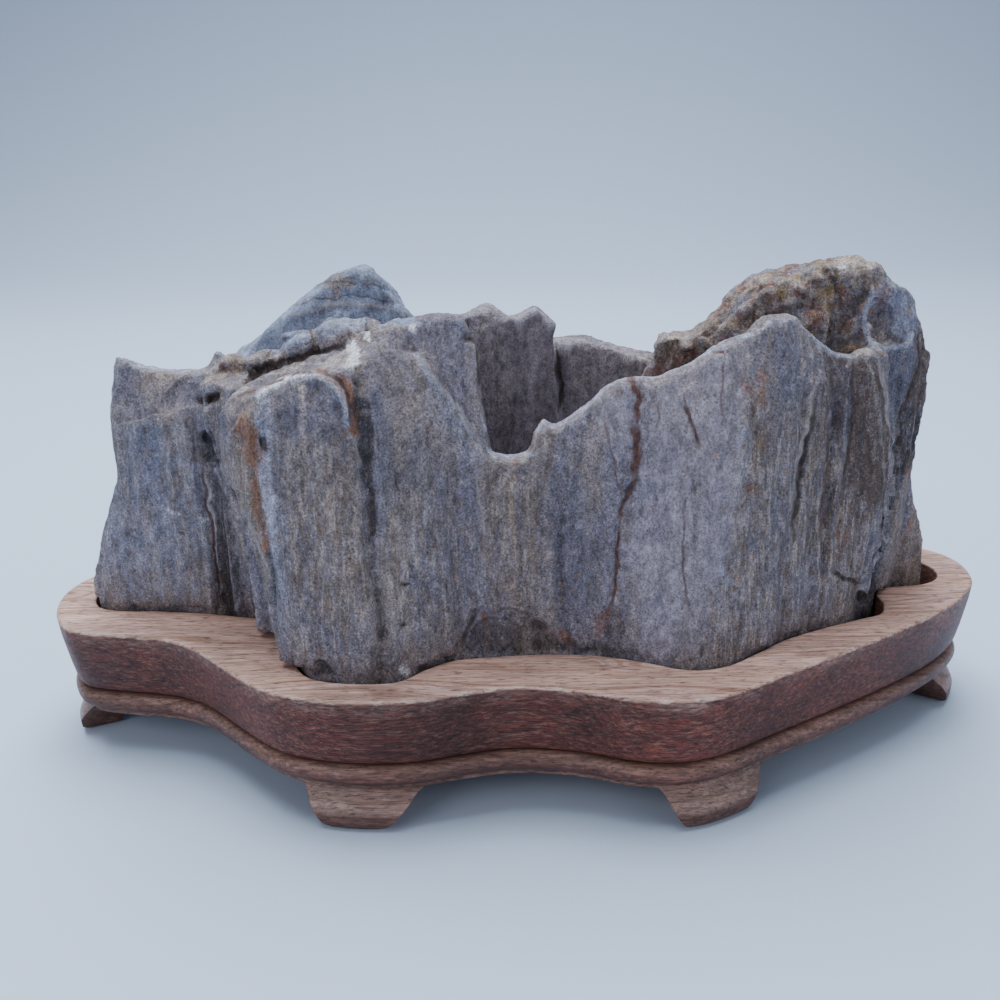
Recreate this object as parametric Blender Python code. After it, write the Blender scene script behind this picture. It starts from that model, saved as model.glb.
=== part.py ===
"""A scholar's rock standing in its carved wooden stand.

Three pieces, one object each: the stone, the stand's upper board with the opening
cut for the stone, and its lower board with the bead moulding and six feet. The
stone is one natural piece made of upright leaning layers. Sizes are millimetres
in the tables and metres in the meshes. The origin is under the middle of the
stand, +X runs along its length and -Y is the front.
"""
import math

import bmesh
import bpy
import numpy as np
from mathutils import Vector, noise

MM = 0.001

# Heights of the stand's parts above the table
STAND_TOP = 44.0
RIM_BOTTOM = 21.6
BASE_TOP = 21.3
BEAD_CENTRE = 17.7
BEAD_RADIUS = 3.4
NECK_HEIGHT = 13.6
APRON_EDGE = 12.2
UNDERSIDE = 12.8

# Distances inward from the outline of the upper board
BASE_TOP_INSET = 6.0
BEAD_AXIS_INSET = 5.4
NECK_INSET = 6.4
FOOT_BACK_INSET = 14.0
UNDERSIDE_INSET = 15.0

# Worn lip of the opening, and the part of a circle that the bead shows
LIP_WIDTH = 0.5
LIP_DROP = 0.6
BEAD_HALF_SWEEP = 80

# Samples round the stand, and the fine steps that curves are measured with
FOOT_SAMPLES = 7
SPAN_SAMPLES = 8
OPENING_SAMPLES = 84
BEAD_STEPS = 4
CURVE_STEPS = 24
MEASURE_STEPS = 1200
NEIGHBOUR_SHARE = 0.1

# Edges sharper than these angles in degrees stay crisp
RIM_SHARP = 40
BASE_SHARP = 35

# The stone's bed, its fit in the opening and its mesh
BED = RIM_BOTTOM
BED_SNAP = 1.0
STONE_CLEARANCE = 1.0
SEAT_HEIGHT = STAND_TOP + 2.0
SEAT_STEPS = 200
VOXEL = 1.5
WEAR_FACTOR = 0.5
WEAR_PASSES = 2
STONE_TRIANGLES = 5900
CREST_DROP = 1.2
MIDDLE_DEPTH = 12.0

# The stone's relief: size across, size up, octaves and height of its flutes and of its crust
FLUTES = (7, 70, 3, 1.2)
CRUST = (9, 9, 4, 1.6)
ROUGHENING = 0.7
FINENESS_STEP = 2.1

# Where the crust grows from nothing to full: heights, and depths from the front
CRUST_HEIGHTS = (112, 128)
CRUST_DEPTHS = (-12, -4)

# The relief fades out above the bed, and a groove reaches so far from its own depth
BED_FADE = 12
GROOVE_REACH = 14
GROOVE_FADE = 4
GROOVE_FLOOR = 0.25
GROOVE_FACING = (-0.2, 0.3)

# Outline of the upper board at its top edge, counter-clockwise from the right end
STAND_OUTLINE = [
    (150.9, 17), (149.6, 27), (143.5, 35.3), (130, 44), (105, 54.5), (75, 61), (42, 58), (10, 53.5),
    (-22, 56), (-53, 59.5), (-80, 51), (-100, 43), (-122, 39.5), (-138, 33.5), (-147, 24.5), (-151, 14),
    (-150.4, 3.5), (-147.3, -5), (-142.6, -12.2), (-137.5, -15.4), (-128, -17.6), (-110.1, -21.1),
    (-98.8, -27.1), (-88.7, -36.9), (-79.4, -46.1), (-69.8, -53.3), (-56, -57.9), (-42.8, -59.4),
    (-29.9, -58.8), (-15, -55), (-2, -52.9), (14.8, -55.4), (27.3, -59.9), (39.7, -61.8), (50, -60.4),
    (60, -56.2), (75, -47.3), (106.8, -28.5), (132.6, -10.7), (147.3, 5.2)]

# Outline of the opening that holds the stone, counter-clockwise from the right end
OPENING_OUTLINE = [
    (140, 18), (136.5, 25.5), (127, 31), (105, 41), (80, 46.5), (45, 44), (10, 40), (-22, 42), (-54, 44.5),
    (-80, 38), (-100, 31), (-120, 29.5), (-133, 25), (-139.6, 15), (-138, 4.5), (-131, -0.8), (-113, -2.5),
    (-93, -6), (-76, -11.5), (-70.2, -22), (-66.8, -35), (-61, -45), (-50, -48.8), (-36, -48.6), (-28, -42),
    (-20, -37.2), (-8, -35.4), (10, -34.8), (22, -36.2), (34, -40), (46, -45), (57, -43.5), (68, -36),
    (78, -28.5), (92, -21.5), (104, -16.5), (111.5, -13), (114.6, -6), (114.6, 0.5), (119, 4.8), (131, 6.6),
    (138, 11)]

# Feet by name: middle on the outline, length on the floor, and sweeps of its flanks: first the one
# that lies counter-clockwise from the foot, then the other
FEET = {
    "right": ((150.2, 10), 15, 10, 10),
    "back_right": ((80, 60.6), 19, 11, 9),
    "back_left": ((-58, 59), 19, 9, 11),
    "left": ((-150.6, 5), 15, 10, 10),
    "front_left": ((-51, -58.8), 19, 5, 13),
    "front_right": ((54.5, -59), 18, 11, 7),
}

# Face of a foot, top to bottom: inset from the outline and height
FOOT_FACE = [(6.4, 13.6), (4.8, 10.8), (2.5, 8.2), (1.3, 5.6), (1.5, 2.0), (3.2, 0.0)]

# Side of the upper board, top to bottom: inset from the outline and height
RIM_SIDE = [(1.0, 44.0), (0.0, 43.0), (1.0, 34.0), (2.6, 23.8), (4.4, 21.6)]

# Upright layers of the stone. Each layer is a list of stations from end to end, and each
# station is a list of (x, y, z, half thickness) from the bed up to the crest.
STONE_LAYERS = {
    "left_block": [
        [(-140.5, 13, BED, 6), (-139, 13, 50, 7), (-132, 12, 68, 7.5), (-124.5, 11, 88, 7.5),
         (-124, 9, 108, 6), (-121, 7, 125.5, 0.8)],
        [(-131, 12, BED, 11.5), (-130, 12, 50, 12), (-123, 11, 69, 12), (-116.5, 10.5, 88, 12),
         (-117, 9, 106, 10), (-114.5, 8, 122, 2.5)],
        [(-115, 10, BED, 12), (-114, 10, 50, 12.5), (-110, 10, 70, 12.5), (-107, 9.5, 90, 12),
         (-107, 9, 106, 10.5), (-105, 8, 120.3, 4)],
        [(-98, 8, BED, 12.5), (-98, 8, 50, 13), (-97, 8, 70, 13), (-97, 7.5, 90, 12.5), (-97, 7, 108, 11),
         (-96, 7, 120.5, 6)],
        [(-90, 10, BED, 12), (-90, 10, 50, 12), (-90, 10, 70, 12), (-90, 9, 90, 11), (-90, 8, 110, 10),
         (-90, 8, 123, 6)],
    ],
    "left_folds": [
        [(-91, 4, BED, 7), (-91, 3, 60, 7), (-91, 3, 100, 6), (-91, 3, 119, 5)],
        [(-87, 1, BED, 9), (-87, 0, 60, 9), (-88, -1, 98, 8), (-88, -1, 121, 6)],
        [(-81, 1, BED, 9), (-82, 0, 60, 8.5), (-83, -2, 98, 9), (-83, -4, 121, 7)],
        [(-76, -2, BED, 9), (-77, -4, 60, 9), (-79, -8, 98, 10), (-78, -10, 121.5, 8)],
        [(-68, -10, BED, 10), (-68, -12, 60, 10), (-68, -14, 98, 10), (-68, -14, 123, 8)],
    ],
    "column": [
        [(-66, -26, BED, 3.5), (-70, -25, 60, 4.5), (-78, -24, 96, 5.5), (-79.5, -24, 117, 6),
         (-77.5, -24, 122.5, 4)],
        [(-62.5, -33, BED, 8), (-66.5, -31.5, 60, 9), (-70, -30, 96, 10), (-69.5, -29, 118, 10),
         (-67, -28, 124.5, 8)],
        [(-57, -36, BED, 10), (-59, -34, 60, 11.5), (-61, -31, 96, 12.5), (-60, -30, 121, 11.5),
         (-59, -29, 127.5, 9)],
        [(-46, -37, BED, 10.5), (-48, -35, 60, 12), (-50, -31.5, 96, 12.5), (-50, -30, 124, 11.5),
         (-50, -29, 130.5, 9)],
        [(-37, -37, BED, 10.5), (-39, -34, 60, 12), (-41.5, -30, 96, 12), (-43, -28, 126, 10.5),
         (-44, -27, 133, 8)],
        [(-30, -33, BED, 9), (-32, -31, 60, 10), (-34, -27, 96, 11), (-36, -24, 126, 9),
         (-38, -22, 137.5, 6)],
    ],
    "terrace": [
        [(-80, -6, BED, 14), (-79, -8, 90, 14), (-78, -10, 122.5, 11)],
        [(-66, -8, BED, 15), (-66, -10, 90, 15), (-66, -11, 127, 12)],
        [(-54, -8, BED, 15), (-54, -10, 90, 15), (-54, -11, 131, 11)],
        [(-42, -8, BED, 15), (-42, -10, 90, 14), (-42, -11, 134.5, 9)],
        [(-30, -10, BED, 14), (-31, -12, 90, 12), (-33, -13, 134, 7)],
    ],
    "upper_slab": [
        [(-44, -20, BED, 12), (-44, -20, 90, 12), (-43, -18, 136.5, 7)],
        [(-34, -21, BED, 12), (-34, -21, 90, 11), (-34, -19, 139.5, 6)],
        [(-24, -22, BED, 11), (-24, -21.5, 90, 9), (-24, -20, 141.3, 5)],
        [(-15, -22, BED, 9), (-13, -21.5, 90, 6.5), (-15, -20.5, 141, 4)],
        [(-9, -22, BED, 8), (-8.5, -21.5, 100, 4.5), (-11.8, -20.5, 132, 3.2)],
    ],
    "screen": [
        [(-41, -35, BED, 11), (-40, -32.5, 60, 11), (-38, -27, 112, 10), (-36, -23, 134, 5)],
        [(-31, -33, BED, 10), (-30, -31.5, 60, 10.5), (-28, -27.5, 112, 9.5), (-24, -26, 131.5, 4)],
        [(-22, -27.5, BED, 8.7), (-22, -27, 60, 9), (-20.5, -25.8, 104, 7.5), (-17.5, -26.5, 122.5, 3.2)],
        [(-15, -25.5, BED, 8.5), (-14.5, -25.5, 60, 9), (-13, -25.5, 98, 7.5), (-12, -26.5, 114, 3)],
        [(-8, -24.8, BED, 9), (-8, -24.8, 60, 9), (-7.5, -25.3, 93, 7.5), (-7, -26.5, 107.5, 3)],
        [(-2, -24.6, BED, 9), (-2, -24.6, 60, 9), (-2.5, -25.2, 91, 7.5), (-3, -26.5, 104.8, 3.2)],
        [(3, -24.6, BED, 9), (3, -24.6, 60, 9), (3, -25.2, 94, 7.5), (3.2, -26.5, 108.5, 3)],
        [(6.5, -24.8, BED, 9), (6.5, -24.8, 60, 9), (6.3, -25.2, 98, 7.5), (6.3, -26.5, 114.2, 2.5)],
        [(12, -25, BED, 9), (12, -25, 60, 9.3), (11.5, -25.4, 100, 7.5), (11.5, -26.8, 114.8, 2.8)],
        [(20, -26, BED, 9), (20, -25.8, 60, 9.5), (20, -25.8, 106, 7.8), (20.5, -27.5, 120.5, 3)],
        [(27, -28, BED, 9.3), (27, -27.3, 60, 9.7), (27, -26.8, 110, 8), (27, -28.3, 124.6, 3)],
        [(37, -31.3, BED, 9.8), (37, -29.6, 60, 10), (37, -27.6, 111, 8.2), (37, -28.6, 124.8, 3)],
        [(46, -34, BED, 10), (46, -31.6, 60, 10.2), (46, -28, 114, 8.4), (46, -28.8, 128.4, 3)],
        [(54, -33.2, BED, 10), (54, -31, 60, 10.2), (54, -27.6, 119, 8.4), (54, -28, 134, 3)],
        [(62, -29.4, BED, 10), (62, -27.8, 60, 10), (62, -25.4, 121, 8.4), (61.5, -26, 135.8, 3)],
        [(69, -24, BED, 10), (69, -23.4, 60, 10), (68.5, -22.4, 124, 8.2), (67, -23.5, 140, 3.5)],
        [(77, -17.6, BED, 10), (77, -18.2, 60, 9.8), (76, -18.8, 124, 8), (74, -20.5, 139.4, 3.5)],
        [(85, -13, BED, 9.8), (84.5, -14.2, 60, 9.3), (82, -15.5, 118, 8), (80, -17, 133, 3)],
        [(95, -8.4, BED, 9.6), (93, -10, 60, 9), (89, -12, 113, 8), (87, -14, 128.2, 3)],
        [(101.5, -5, BED, 8.6), (99, -6, 60, 8), (95, -8, 110, 7.5), (92.5, -10.5, 126, 3.5)],
    ],
    "hanging_blade": [
        [(100, -13, 58, 2.5), (94.5, -15.5, 92, 3.5), (91.5, -14.5, 125, 3)],
        [(107.3, -12, 48.6, 1), (101.5, -13.5, 88, 4), (97.5, -12, 127, 4)],
        [(110, -9, 64, 2), (106.5, -9.5, 92, 4), (103, -8, 126.5, 4)],
    ],
    "peak": [
        [(-92, 18, BED, 13), (-92, 17, 90, 11), (-91, 13, 121.5, 5)],
        [(-86, 18, BED, 16), (-86, 17, 90, 14), (-85.5, 13, 124, 6)],
        [(-75, 18, BED, 18), (-75, 17, 90, 17), (-75, 13, 132, 6)],
        [(-65, 17, BED, 19), (-65, 16, 90, 19), (-64.7, 12, 140.2, 5.5)],
        [(-54, 17, BED, 19), (-54, 16, 90, 19), (-53.7, 12, 147.3, 5)],
        [(-45, 17, BED, 19), (-45, 16, 90, 18), (-45, 12, 150.3, 4)],
        [(-39, 16, BED, 18), (-39, 15, 90, 16), (-39.8, 12, 146, 4)],
        [(-33, 16, BED, 16), (-33, 15, 90, 13), (-34, 12, 137.5, 5)],
        [(-26, 17, BED, 13), (-26, 15, 90, 10), (-27, 13, 131.5, 5)],
    ],
    "back_slab": [
        [(-27, 22, BED, 11), (-27, 20, 90, 9), (-25, 17, 130.5, 5)],
        [(-17, 23, BED, 11), (-17, 21, 90, 8), (-17, 17, 133.4, 5)],
        [(-9, 23, BED, 11), (-9, 21, 90, 7.5), (-8.8, 17, 137, 4.5)],
        [(-2, 23, BED, 11), (-2, 21, 90, 7), (-1.5, 17, 132.8, 4.5)],
        [(6, 23.5, BED, 10), (6, 21.5, 90, 6), (6, 18, 135.5, 3.5)],
        [(14, 24, BED, 9), (15, 22.5, 90, 4.5), (11.5, 18.5, 129.5, 2.5)],
    ],
    "back_wall": [
        [(8, 30, BED, 10), (8, 30, 80, 8), (8, 28, 123.5, 5)],
        [(22, 30, BED, 10), (22, 30, 80, 8), (22, 28, 123.6, 5)],
        [(34, 31, BED, 11), (34, 30, 80, 8.5), (34, 27, 120.6, 5)],
        [(48, 31, BED, 12), (48, 30, 80, 10), (48, 26, 116.5, 7)],
    ],
    "right_mass": [
        [(36, 12, BED, 13), (36, 12, 80, 9), (37, 9, 113.5, 4)],
        [(43, 12, BED, 14), (43, 12, 80, 12), (42.5, 7, 124.5, 5)],
        [(52, 11, BED, 15), (52, 11, 80, 14), (50, 7, 127.6, 6)],
        [(60, 10, BED, 16), (60, 10, 80, 16), (59, 7, 134, 7)],
        [(70, 10, BED, 17), (70, 10, 80, 17), (70, 7, 142.4, 9)],
        [(82, 10, BED, 18), (82, 10, 80, 18), (82, 7, 145.8, 10)],
        [(94, 10, BED, 18), (94, 10, 80, 18), (94, 8, 149.2, 9)],
        [(101, 10, BED, 17), (101, 10, 80, 17), (101, 8, 149.5, 8)],
        [(107, 11, BED, 14), (107, 11, 80, 14), (106.5, 9, 145, 6)],
    ],
    "end_column": [
        [(104, 4, BED, 6), (101, -1, 80, 6), (98, -3, 126, 4), (99.5, -2, 131, 2)],
        [(108, 6, BED, 7), (108, 3, 80, 8), (104.5, 1, 124, 8), (105.5, 1, 143.6, 4.5)],
        [(113, 10, BED, 8), (115, 6, 80, 8), (113.5, 4, 122, 8.5), (110.5, 3, 142.6, 4.5)],
        [(117, 14, BED, 7), (120.5, 10, 84, 5), (122.8, 8, 108, 6), (120.5, 8, 124, 5),
         (115.5, 7, 136, 3.5)],
    ],
    "end_back": [
        [(122, 15, BED, 6), (120.5, 15, 84, 4), (121, 14, 104, 6), (119.5, 14, 120, 4)],
        [(118, 22, BED, 9), (117, 22, 84, 8), (117, 20, 106, 9), (116, 19, 129, 5)],
        [(106, 28, BED, 9), (106, 28, 84, 9), (106, 26, 106, 9), (105, 23, 136, 6)],
    ],
    "right_buttress": [
        [(118, 14.5, BED, 8), (118, 14.5, 56, 7), (119.5, 15, 80, 4.5)],
        [(127, 15.5, BED, 8.5), (126, 15.5, 57, 7.5), (123.5, 15.5, 82, 4)],
        [(134, 17, BED, 5.5), (132.6, 16.5, 57, 4.5), (126.5, 16.5, 79, 2.2)],
    ],
    "rear_flank": [
        [(-128, 20, BED, 5), (-124, 19, 70, 6), (-118, 18, 104, 5)],
        [(-112, 22, BED, 6), (-110, 21, 76, 6), (-106, 18, 113, 5)],
        [(-96, 24, BED, 6), (-96, 24, 70, 7), (-95, 20, 117, 5)],
        [(-80, 31, BED, 7), (-80, 30, 82, 7), (-79, 24, 121, 6)],
        [(-62, 36, BED, 7), (-62, 34, 70, 8), (-62, 26, 131, 6)],
        [(-46, 37, BED, 7), (-46, 35, 92, 7), (-45, 25, 139, 6)],
        [(-30, 35, BED, 7), (-30, 33, 74, 7), (-30, 27, 127, 6)],
        [(-10, 34, BED, 6), (-10, 32, 88, 6), (-10, 27, 124, 5)],
        [(10, 33, BED, 6), (10, 32, 70, 6), (10, 28, 117, 5)],
        [(34, 36, BED, 6), (34, 35, 84, 6), (34, 31, 112, 5)],
        [(56, 38, BED, 7), (56, 37, 66, 8), (57, 29, 121, 6)],
        [(78, 38, BED, 8), (78, 36, 96, 7), (78, 26, 133, 7)],
        [(96, 34, BED, 8), (96, 33, 74, 8), (97, 24, 139, 7)],
        [(112, 26, BED, 8), (113, 26, 70, 8), (111, 22, 133, 6)],
    ],
    "basin_floor": [
        [(-70, 2, BED, 30), (-70, 2, 78, 26)],
        [(-20, 2, BED, 32), (-20, 2, 70, 26)],
        [(20, 2, BED, 32), (20, 2, 71, 26)],
        [(60, 4, BED, 32), (60, 4, 80, 26)],
        [(104, 8, BED, 14), (104, 8, 92, 12)],
    ],
}

# Rounded lumps on the ledges and crust: centre and radii
STONE_LUMPS = [
    ((-70, -13, 126), (8, 6, 4.2)), ((-59, -13, 131), (7, 6, 5.5)), ((-50, -13, 134.5), (7, 6, 5)),
    ((-43, -12, 134.5), (5, 5, 4.5)), ((-90.4, 8, 122.3), (1.7, 2.2, 3.2)), ((-84, 4, 122), (5, 5, 4)),
    ((44.5, 5, 125), (4, 5, 4.2)), ((49.5, 5, 126), (5, 6, 4)), ((64, 3, 136), (6, 8, 4.5)),
    ((77, 2, 140), (8, 8, 6)), ((88, 2, 143), (7, 8, 6)), ((98, 3, 145), (7, 7, 5.5)),
    ((121, 7, 119), (3.2, 4, 4.5)), ((121.8, 8, 107), (3, 4, 5)), ((66, 0, 128), (9, 6, 7)),
    ((85, -1, 131), (9, 6, 8)),
]

# Grooves and hollows of the faces: points (x, z), depth position y, radius and depth
STONE_GROOVES = {
    "block_groove": ([(-93, 103), (-91.5, 90), (-92, 74), (-93, 30)], -2, 2.6, 2.6),
    "fold_groove": ([(-85.5, 88), (-83, 74), (-82, 60), (-82.5, 30)], -9, 2.4, 2.6),
    "flank_groove": ([(-74, 80), (-72, 64), (-70, 30)], -14, 2.5, 2.0),
    "column_groove": ([(-42, 127), (-40.5, 100), (-41, 78), (-39, 56)], -38, 2.6, 1.8),
    "block_hole": ([(-97, 110), (-92.5, 113)], -2, 1.8, 3.0),
    "screen_hollow": ([(6, 96), (8, 66), (5, 30)], -34, 9.0, 1.6),
    "turn_groove": ([(80, 124), (79, 100), (76, 78), (76.5, 30)], -26, 2.6, 1.2),
    "strip_groove": ([(90, 116), (89, 90), (90, 62)], -18, 2.4, 1.8),
    "oval_recess": ([(105, 130.3), (105.6, 134.2)], -6, 4.6, 1.8),
    "tip_hollow": ([(110, 44), (109.5, 62)], -12, 3.6, 2.0),
    "rear_cleft_left": ([(-100, 112), (-104, 80), (-102, 30)], 28, 3.6, 3.0),
    "rear_cleft_peak": ([(-71, 122), (-67, 90), (-69, 30)], 36, 4.2, 3.4),
    "rear_hollow_peak": ([(-46, 100), (-44, 66)], 38, 11.0, 3.0),
    "rear_cleft_middle": ([(-20, 122), (-24, 88), (-22, 30)], 37, 5.0, 3.4),
    "rear_cleft_right": ([(22, 112), (19, 84), (24, 30)], 36, 5.0, 3.8),
    "rear_hollow_right": ([(45, 92), (48, 66)], 38, 12.0, 3.2),
    "rear_cleft_mass": ([(66, 128), (71, 92), (68, 30)], 40, 4.2, 3.4),
    "rear_step": ([(92, 110), (98, 84), (95, 30)], 38, 5.5, 2.6),
}


def closed_curve(points, positions):
    """Points at the given fractions of the length of a smooth closed curve."""
    count = len(points)
    dense = []
    for i in range(count):
        a, b, c, d = (np.array(points[(i + k - 1) % count], float) for k in range(4))
        for step in range(CURVE_STEPS):
            t = step / CURVE_STEPS
            dense.append(0.5 * (2 * b + (c - a) * t + (2 * a - 5 * b + 4 * c - d) * t ** 2
                                + (3 * b - a - 3 * c + d) * t ** 3))
    dense.append(dense[0])
    dense = np.array(dense)
    lengths = np.concatenate([[0], np.cumsum(np.linalg.norm(np.diff(dense, axis=0), axis=1))])
    wanted = np.array(positions) * lengths[-1]
    return np.stack([np.interp(wanted, lengths, dense[:, k]) for k in range(2)], axis=1)


def curve_length(points):
    """Length of the smooth closed curve through the points."""
    fine = closed_curve(points, np.linspace(0, 1, MEASURE_STEPS))
    return float(np.linalg.norm(np.diff(fine, axis=0), axis=1).sum())


def inset(loop, distance):
    """The closed loop moved inward by the distance, in short steps that keep it smooth."""
    current = np.array(loop)
    steps = max(1, math.ceil(abs(distance)))
    for _ in range(steps):
        tangent = np.roll(current, -1, axis=0) - np.roll(current, 1, axis=0)
        tangent /= np.linalg.norm(tangent, axis=1, keepdims=True)
        inward = np.stack([-tangent[:, 1], tangent[:, 0]], axis=1)
        current = current + inward * distance / steps
        if steps > 2:
            neighbours = np.roll(current, 1, axis=0) + np.roll(current, -1, axis=0)
            current = (1 - 2 * NEIGHBOUR_SHARE) * current + NEIGHBOUR_SHARE * neighbours
    return current


def foot_positions():
    """Where each foot stands: fraction of the outline at its middle, and its sizes."""
    fine = np.linspace(0, 1, MEASURE_STEPS, endpoint=False)
    curve = closed_curve(STAND_OUTLINE, fine)
    found = []
    for middle, length, sweep_a, sweep_b in FEET.values():
        nearest = int(np.argmin(np.linalg.norm(curve - np.array(middle), axis=1)))
        found.append((fine[nearest], length, sweep_a, sweep_b))
    return sorted(found)


def outline_samples():
    """Fractions of the outline to sample, closer together at the feet, and the edge height there."""
    total = curve_length(STAND_OUTLINE)
    feet = foot_positions()
    positions, edges = [], []
    for i, (middle, length, sweep_a, sweep_b) in enumerate(feet):
        start = middle - (length / 2 + sweep_b) / total
        end = middle + (length / 2 + sweep_a) / total
        floor_start, floor_end = middle - length / 2 / total, middle + length / 2 / total
        for k in range(FOOT_SAMPLES):
            position = start + (end - start) * k / (FOOT_SAMPLES - 1)
            if k == 2:
                position = floor_start
            if k == FOOT_SAMPLES - 3:
                position = floor_end
            positions.append(position)
            if position < floor_start:
                lift = (floor_start - position) / (floor_start - start)
            elif position > floor_end:
                lift = (position - floor_end) / (end - floor_end)
            else:
                lift = 0.0
            edges.append(APRON_EDGE * (1 - (1 - lift) ** 2) if lift > 0 else 0.0)
        following = feet[(i + 1) % len(feet)]
        next_start = following[0] - (following[1] / 2 + following[3]) / total
        if next_start < end:
            next_start += 1
        for k in range(1, SPAN_SAMPLES + 1):
            positions.append(end + (next_start - end) * k / (SPAN_SAMPLES + 1))
            edges.append(APRON_EDGE)
    return [p % 1 for p in positions], edges


def add_ring(mesh, loop, heights):
    """Add a ring of vertices along the loop, at one height or at a height each."""
    heights = np.broadcast_to(heights, (len(loop),))
    return [mesh.verts.new((x * MM, y * MM, z * MM)) for (x, y), z in zip(loop, heights)]


def bridge(mesh, upper, lower):
    """Join two rings of the same count by quads."""
    count = len(upper)
    for i in range(count):
        j = (i + 1) % count
        mesh.faces.new((upper[i], lower[i], lower[j], upper[j]))


def ring_edges(mesh, ring):
    """The closed chain of edges through the ring's vertices."""
    count = len(ring)
    edges = []
    for i in range(count):
        pair = (ring[i], ring[(i + 1) % count])
        edges.append(mesh.edges.get(pair) or mesh.edges.new(pair))
    return edges


def cap(mesh, *rings):
    """Fill the flat face bounded by the rings."""
    edges = [edge for ring in rings for edge in ring_edges(mesh, ring)]
    bmesh.ops.triangle_fill(mesh, edges=edges, use_beauty=True, use_dissolve=False)


def finish_object(mesh, name, material, smooth_angle):
    """Turn the bmesh into a named object with its material."""
    bmesh.ops.triangulate(mesh, faces=mesh.faces)
    bmesh.ops.recalc_face_normals(mesh, faces=mesh.faces)
    data = bpy.data.meshes.new(name)
    mesh.to_mesh(data)
    mesh.free()
    data.materials.append(material)
    data.shade_smooth()
    data.set_sharp_from_angle(angle=math.radians(smooth_angle))
    result = bpy.data.objects.new(name, data)
    bpy.context.scene.collection.objects.link(result)
    return result


def plain_material(name, colour, roughness):
    """A Principled material of one colour."""
    material = bpy.data.materials.new(name)
    material.use_nodes = True
    shader = material.node_tree.nodes["Principled BSDF"]
    shader.inputs["Base Color"].default_value = (*colour, 1)
    shader.inputs["Roughness"].default_value = roughness
    shader.inputs["Metallic"].default_value = 0.0
    material.diffuse_color = (*colour, 1)
    return material


def make_rim(material):
    """The upper board: a tapered, edge-rounded side and an opening cut right through."""
    positions, _ = outline_samples()
    outline = closed_curve(STAND_OUTLINE, positions)
    opening = closed_curve(OPENING_OUTLINE, np.arange(OPENING_SAMPLES) / OPENING_SAMPLES)
    mesh = bmesh.new()
    side = [add_ring(mesh, inset(outline, distance), height) for distance, height in RIM_SIDE]
    for upper, lower in zip(side, side[1:]):
        bridge(mesh, upper, lower)
    top_lip = add_ring(mesh, inset(opening, -LIP_WIDTH), STAND_TOP)
    wall_top = add_ring(mesh, opening, STAND_TOP - LIP_DROP)
    wall_bottom = add_ring(mesh, opening, RIM_BOTTOM)
    bridge(mesh, wall_bottom, wall_top)
    bridge(mesh, wall_top, top_lip)
    cap(mesh, side[0], top_lip)
    cap(mesh, side[-1], wall_bottom)
    return finish_object(mesh, "stand_rim", material, RIM_SHARP)


def foot_inset(height):
    """Inset of the foot's face at a height."""
    heights = [z for _, z in reversed(FOOT_FACE)]
    insets = [distance for distance, _ in reversed(FOOT_FACE)]
    return np.interp(height, heights, insets)


def make_base(material):
    """The lower board: flat top, half-round bead, and an apron that drops into six feet."""
    positions, edges = outline_samples()
    outline = closed_curve(STAND_OUTLINE, positions)
    edges = np.array(edges)
    mesh = bmesh.new()
    rings = [add_ring(mesh, inset(outline, BASE_TOP_INSET), BASE_TOP)]
    for step in range(BEAD_STEPS + 1):
        angle = math.radians(BEAD_HALF_SWEEP * (1 - 2 * step / BEAD_STEPS))
        distance = BEAD_AXIS_INSET - BEAD_RADIUS * math.cos(angle)
        rings.append(add_ring(mesh, inset(outline, distance), BEAD_CENTRE + BEAD_RADIUS * math.sin(angle)))
    rings.append(add_ring(mesh, inset(outline, NECK_INSET), NECK_HEIGHT))
    loops = [inset(outline, distance) for distance in (0.0, NECK_INSET)]
    for _, height in FOOT_FACE[1:]:
        heights = edges + height * (NECK_HEIGHT - edges) / NECK_HEIGHT
        weight = (foot_inset(heights) / NECK_INSET)[:, None]
        rings.append(add_ring(mesh, loops[0] * (1 - weight) + loops[1] * weight, heights))
    inner = inset(outline, FOOT_BACK_INSET)
    rings.append(add_ring(mesh, inner, edges))
    rings.append(add_ring(mesh, inset(outline, UNDERSIDE_INSET), UNDERSIDE))
    for upper, lower in zip(rings, rings[1:]):
        bridge(mesh, upper, lower)
    cap(mesh, rings[0])
    cap(mesh, rings[-1])
    return finish_object(mesh, "stand_base", material, BASE_SHARP)


def loft_layer(mesh, stations):
    """Add one upright layer of the stone as a closed slab through its stations."""
    last = len(stations) - 1
    levels = min(len(station) for station in stations)
    rings = []
    for i, station in enumerate(stations):
        before, after = stations[max(i - 1, 0)], stations[min(i + 1, last)]
        station = resample(station, levels)
        before, after = resample(before, levels), resample(after, levels)
        near, far = [], []
        for level, (x, y, z, half) in enumerate(station):
            along = Vector(after[level][:2]) - Vector(before[level][:2])
            across = Vector((along.y, -along.x)).normalized() * half
            drop = CREST_DROP if level == levels - 1 else 0.0
            near.append((x + across.x, y + across.y, z - drop))
            far.append((x - across.x, y - across.y, z - drop))
        crest = [station[-1][:3]]
        section = near + crest + far[::-1]
        rings.append([mesh.verts.new(Vector(point) * MM) for point in section])
    for ring, following in zip(rings, rings[1:]):
        bridge(mesh, ring, following)
    for ring in (rings[0], rings[-1]):
        near, crest, far = ring[:levels], ring[levels], ring[:levels:-1]
        for i in range(levels - 1):
            mesh.faces.new((near[i], near[i + 1], far[i + 1], far[i]))
        mesh.faces.new((near[-1], crest, far[-1]))


def resample(station, levels):
    """The station's line with the given number of points, foot and crest kept."""
    if len(station) == levels:
        return station
    wanted = np.linspace(0, len(station) - 1, levels)
    columns = [np.interp(wanted, np.arange(len(station)), column) for column in zip(*station)]
    return list(zip(*columns))


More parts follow.
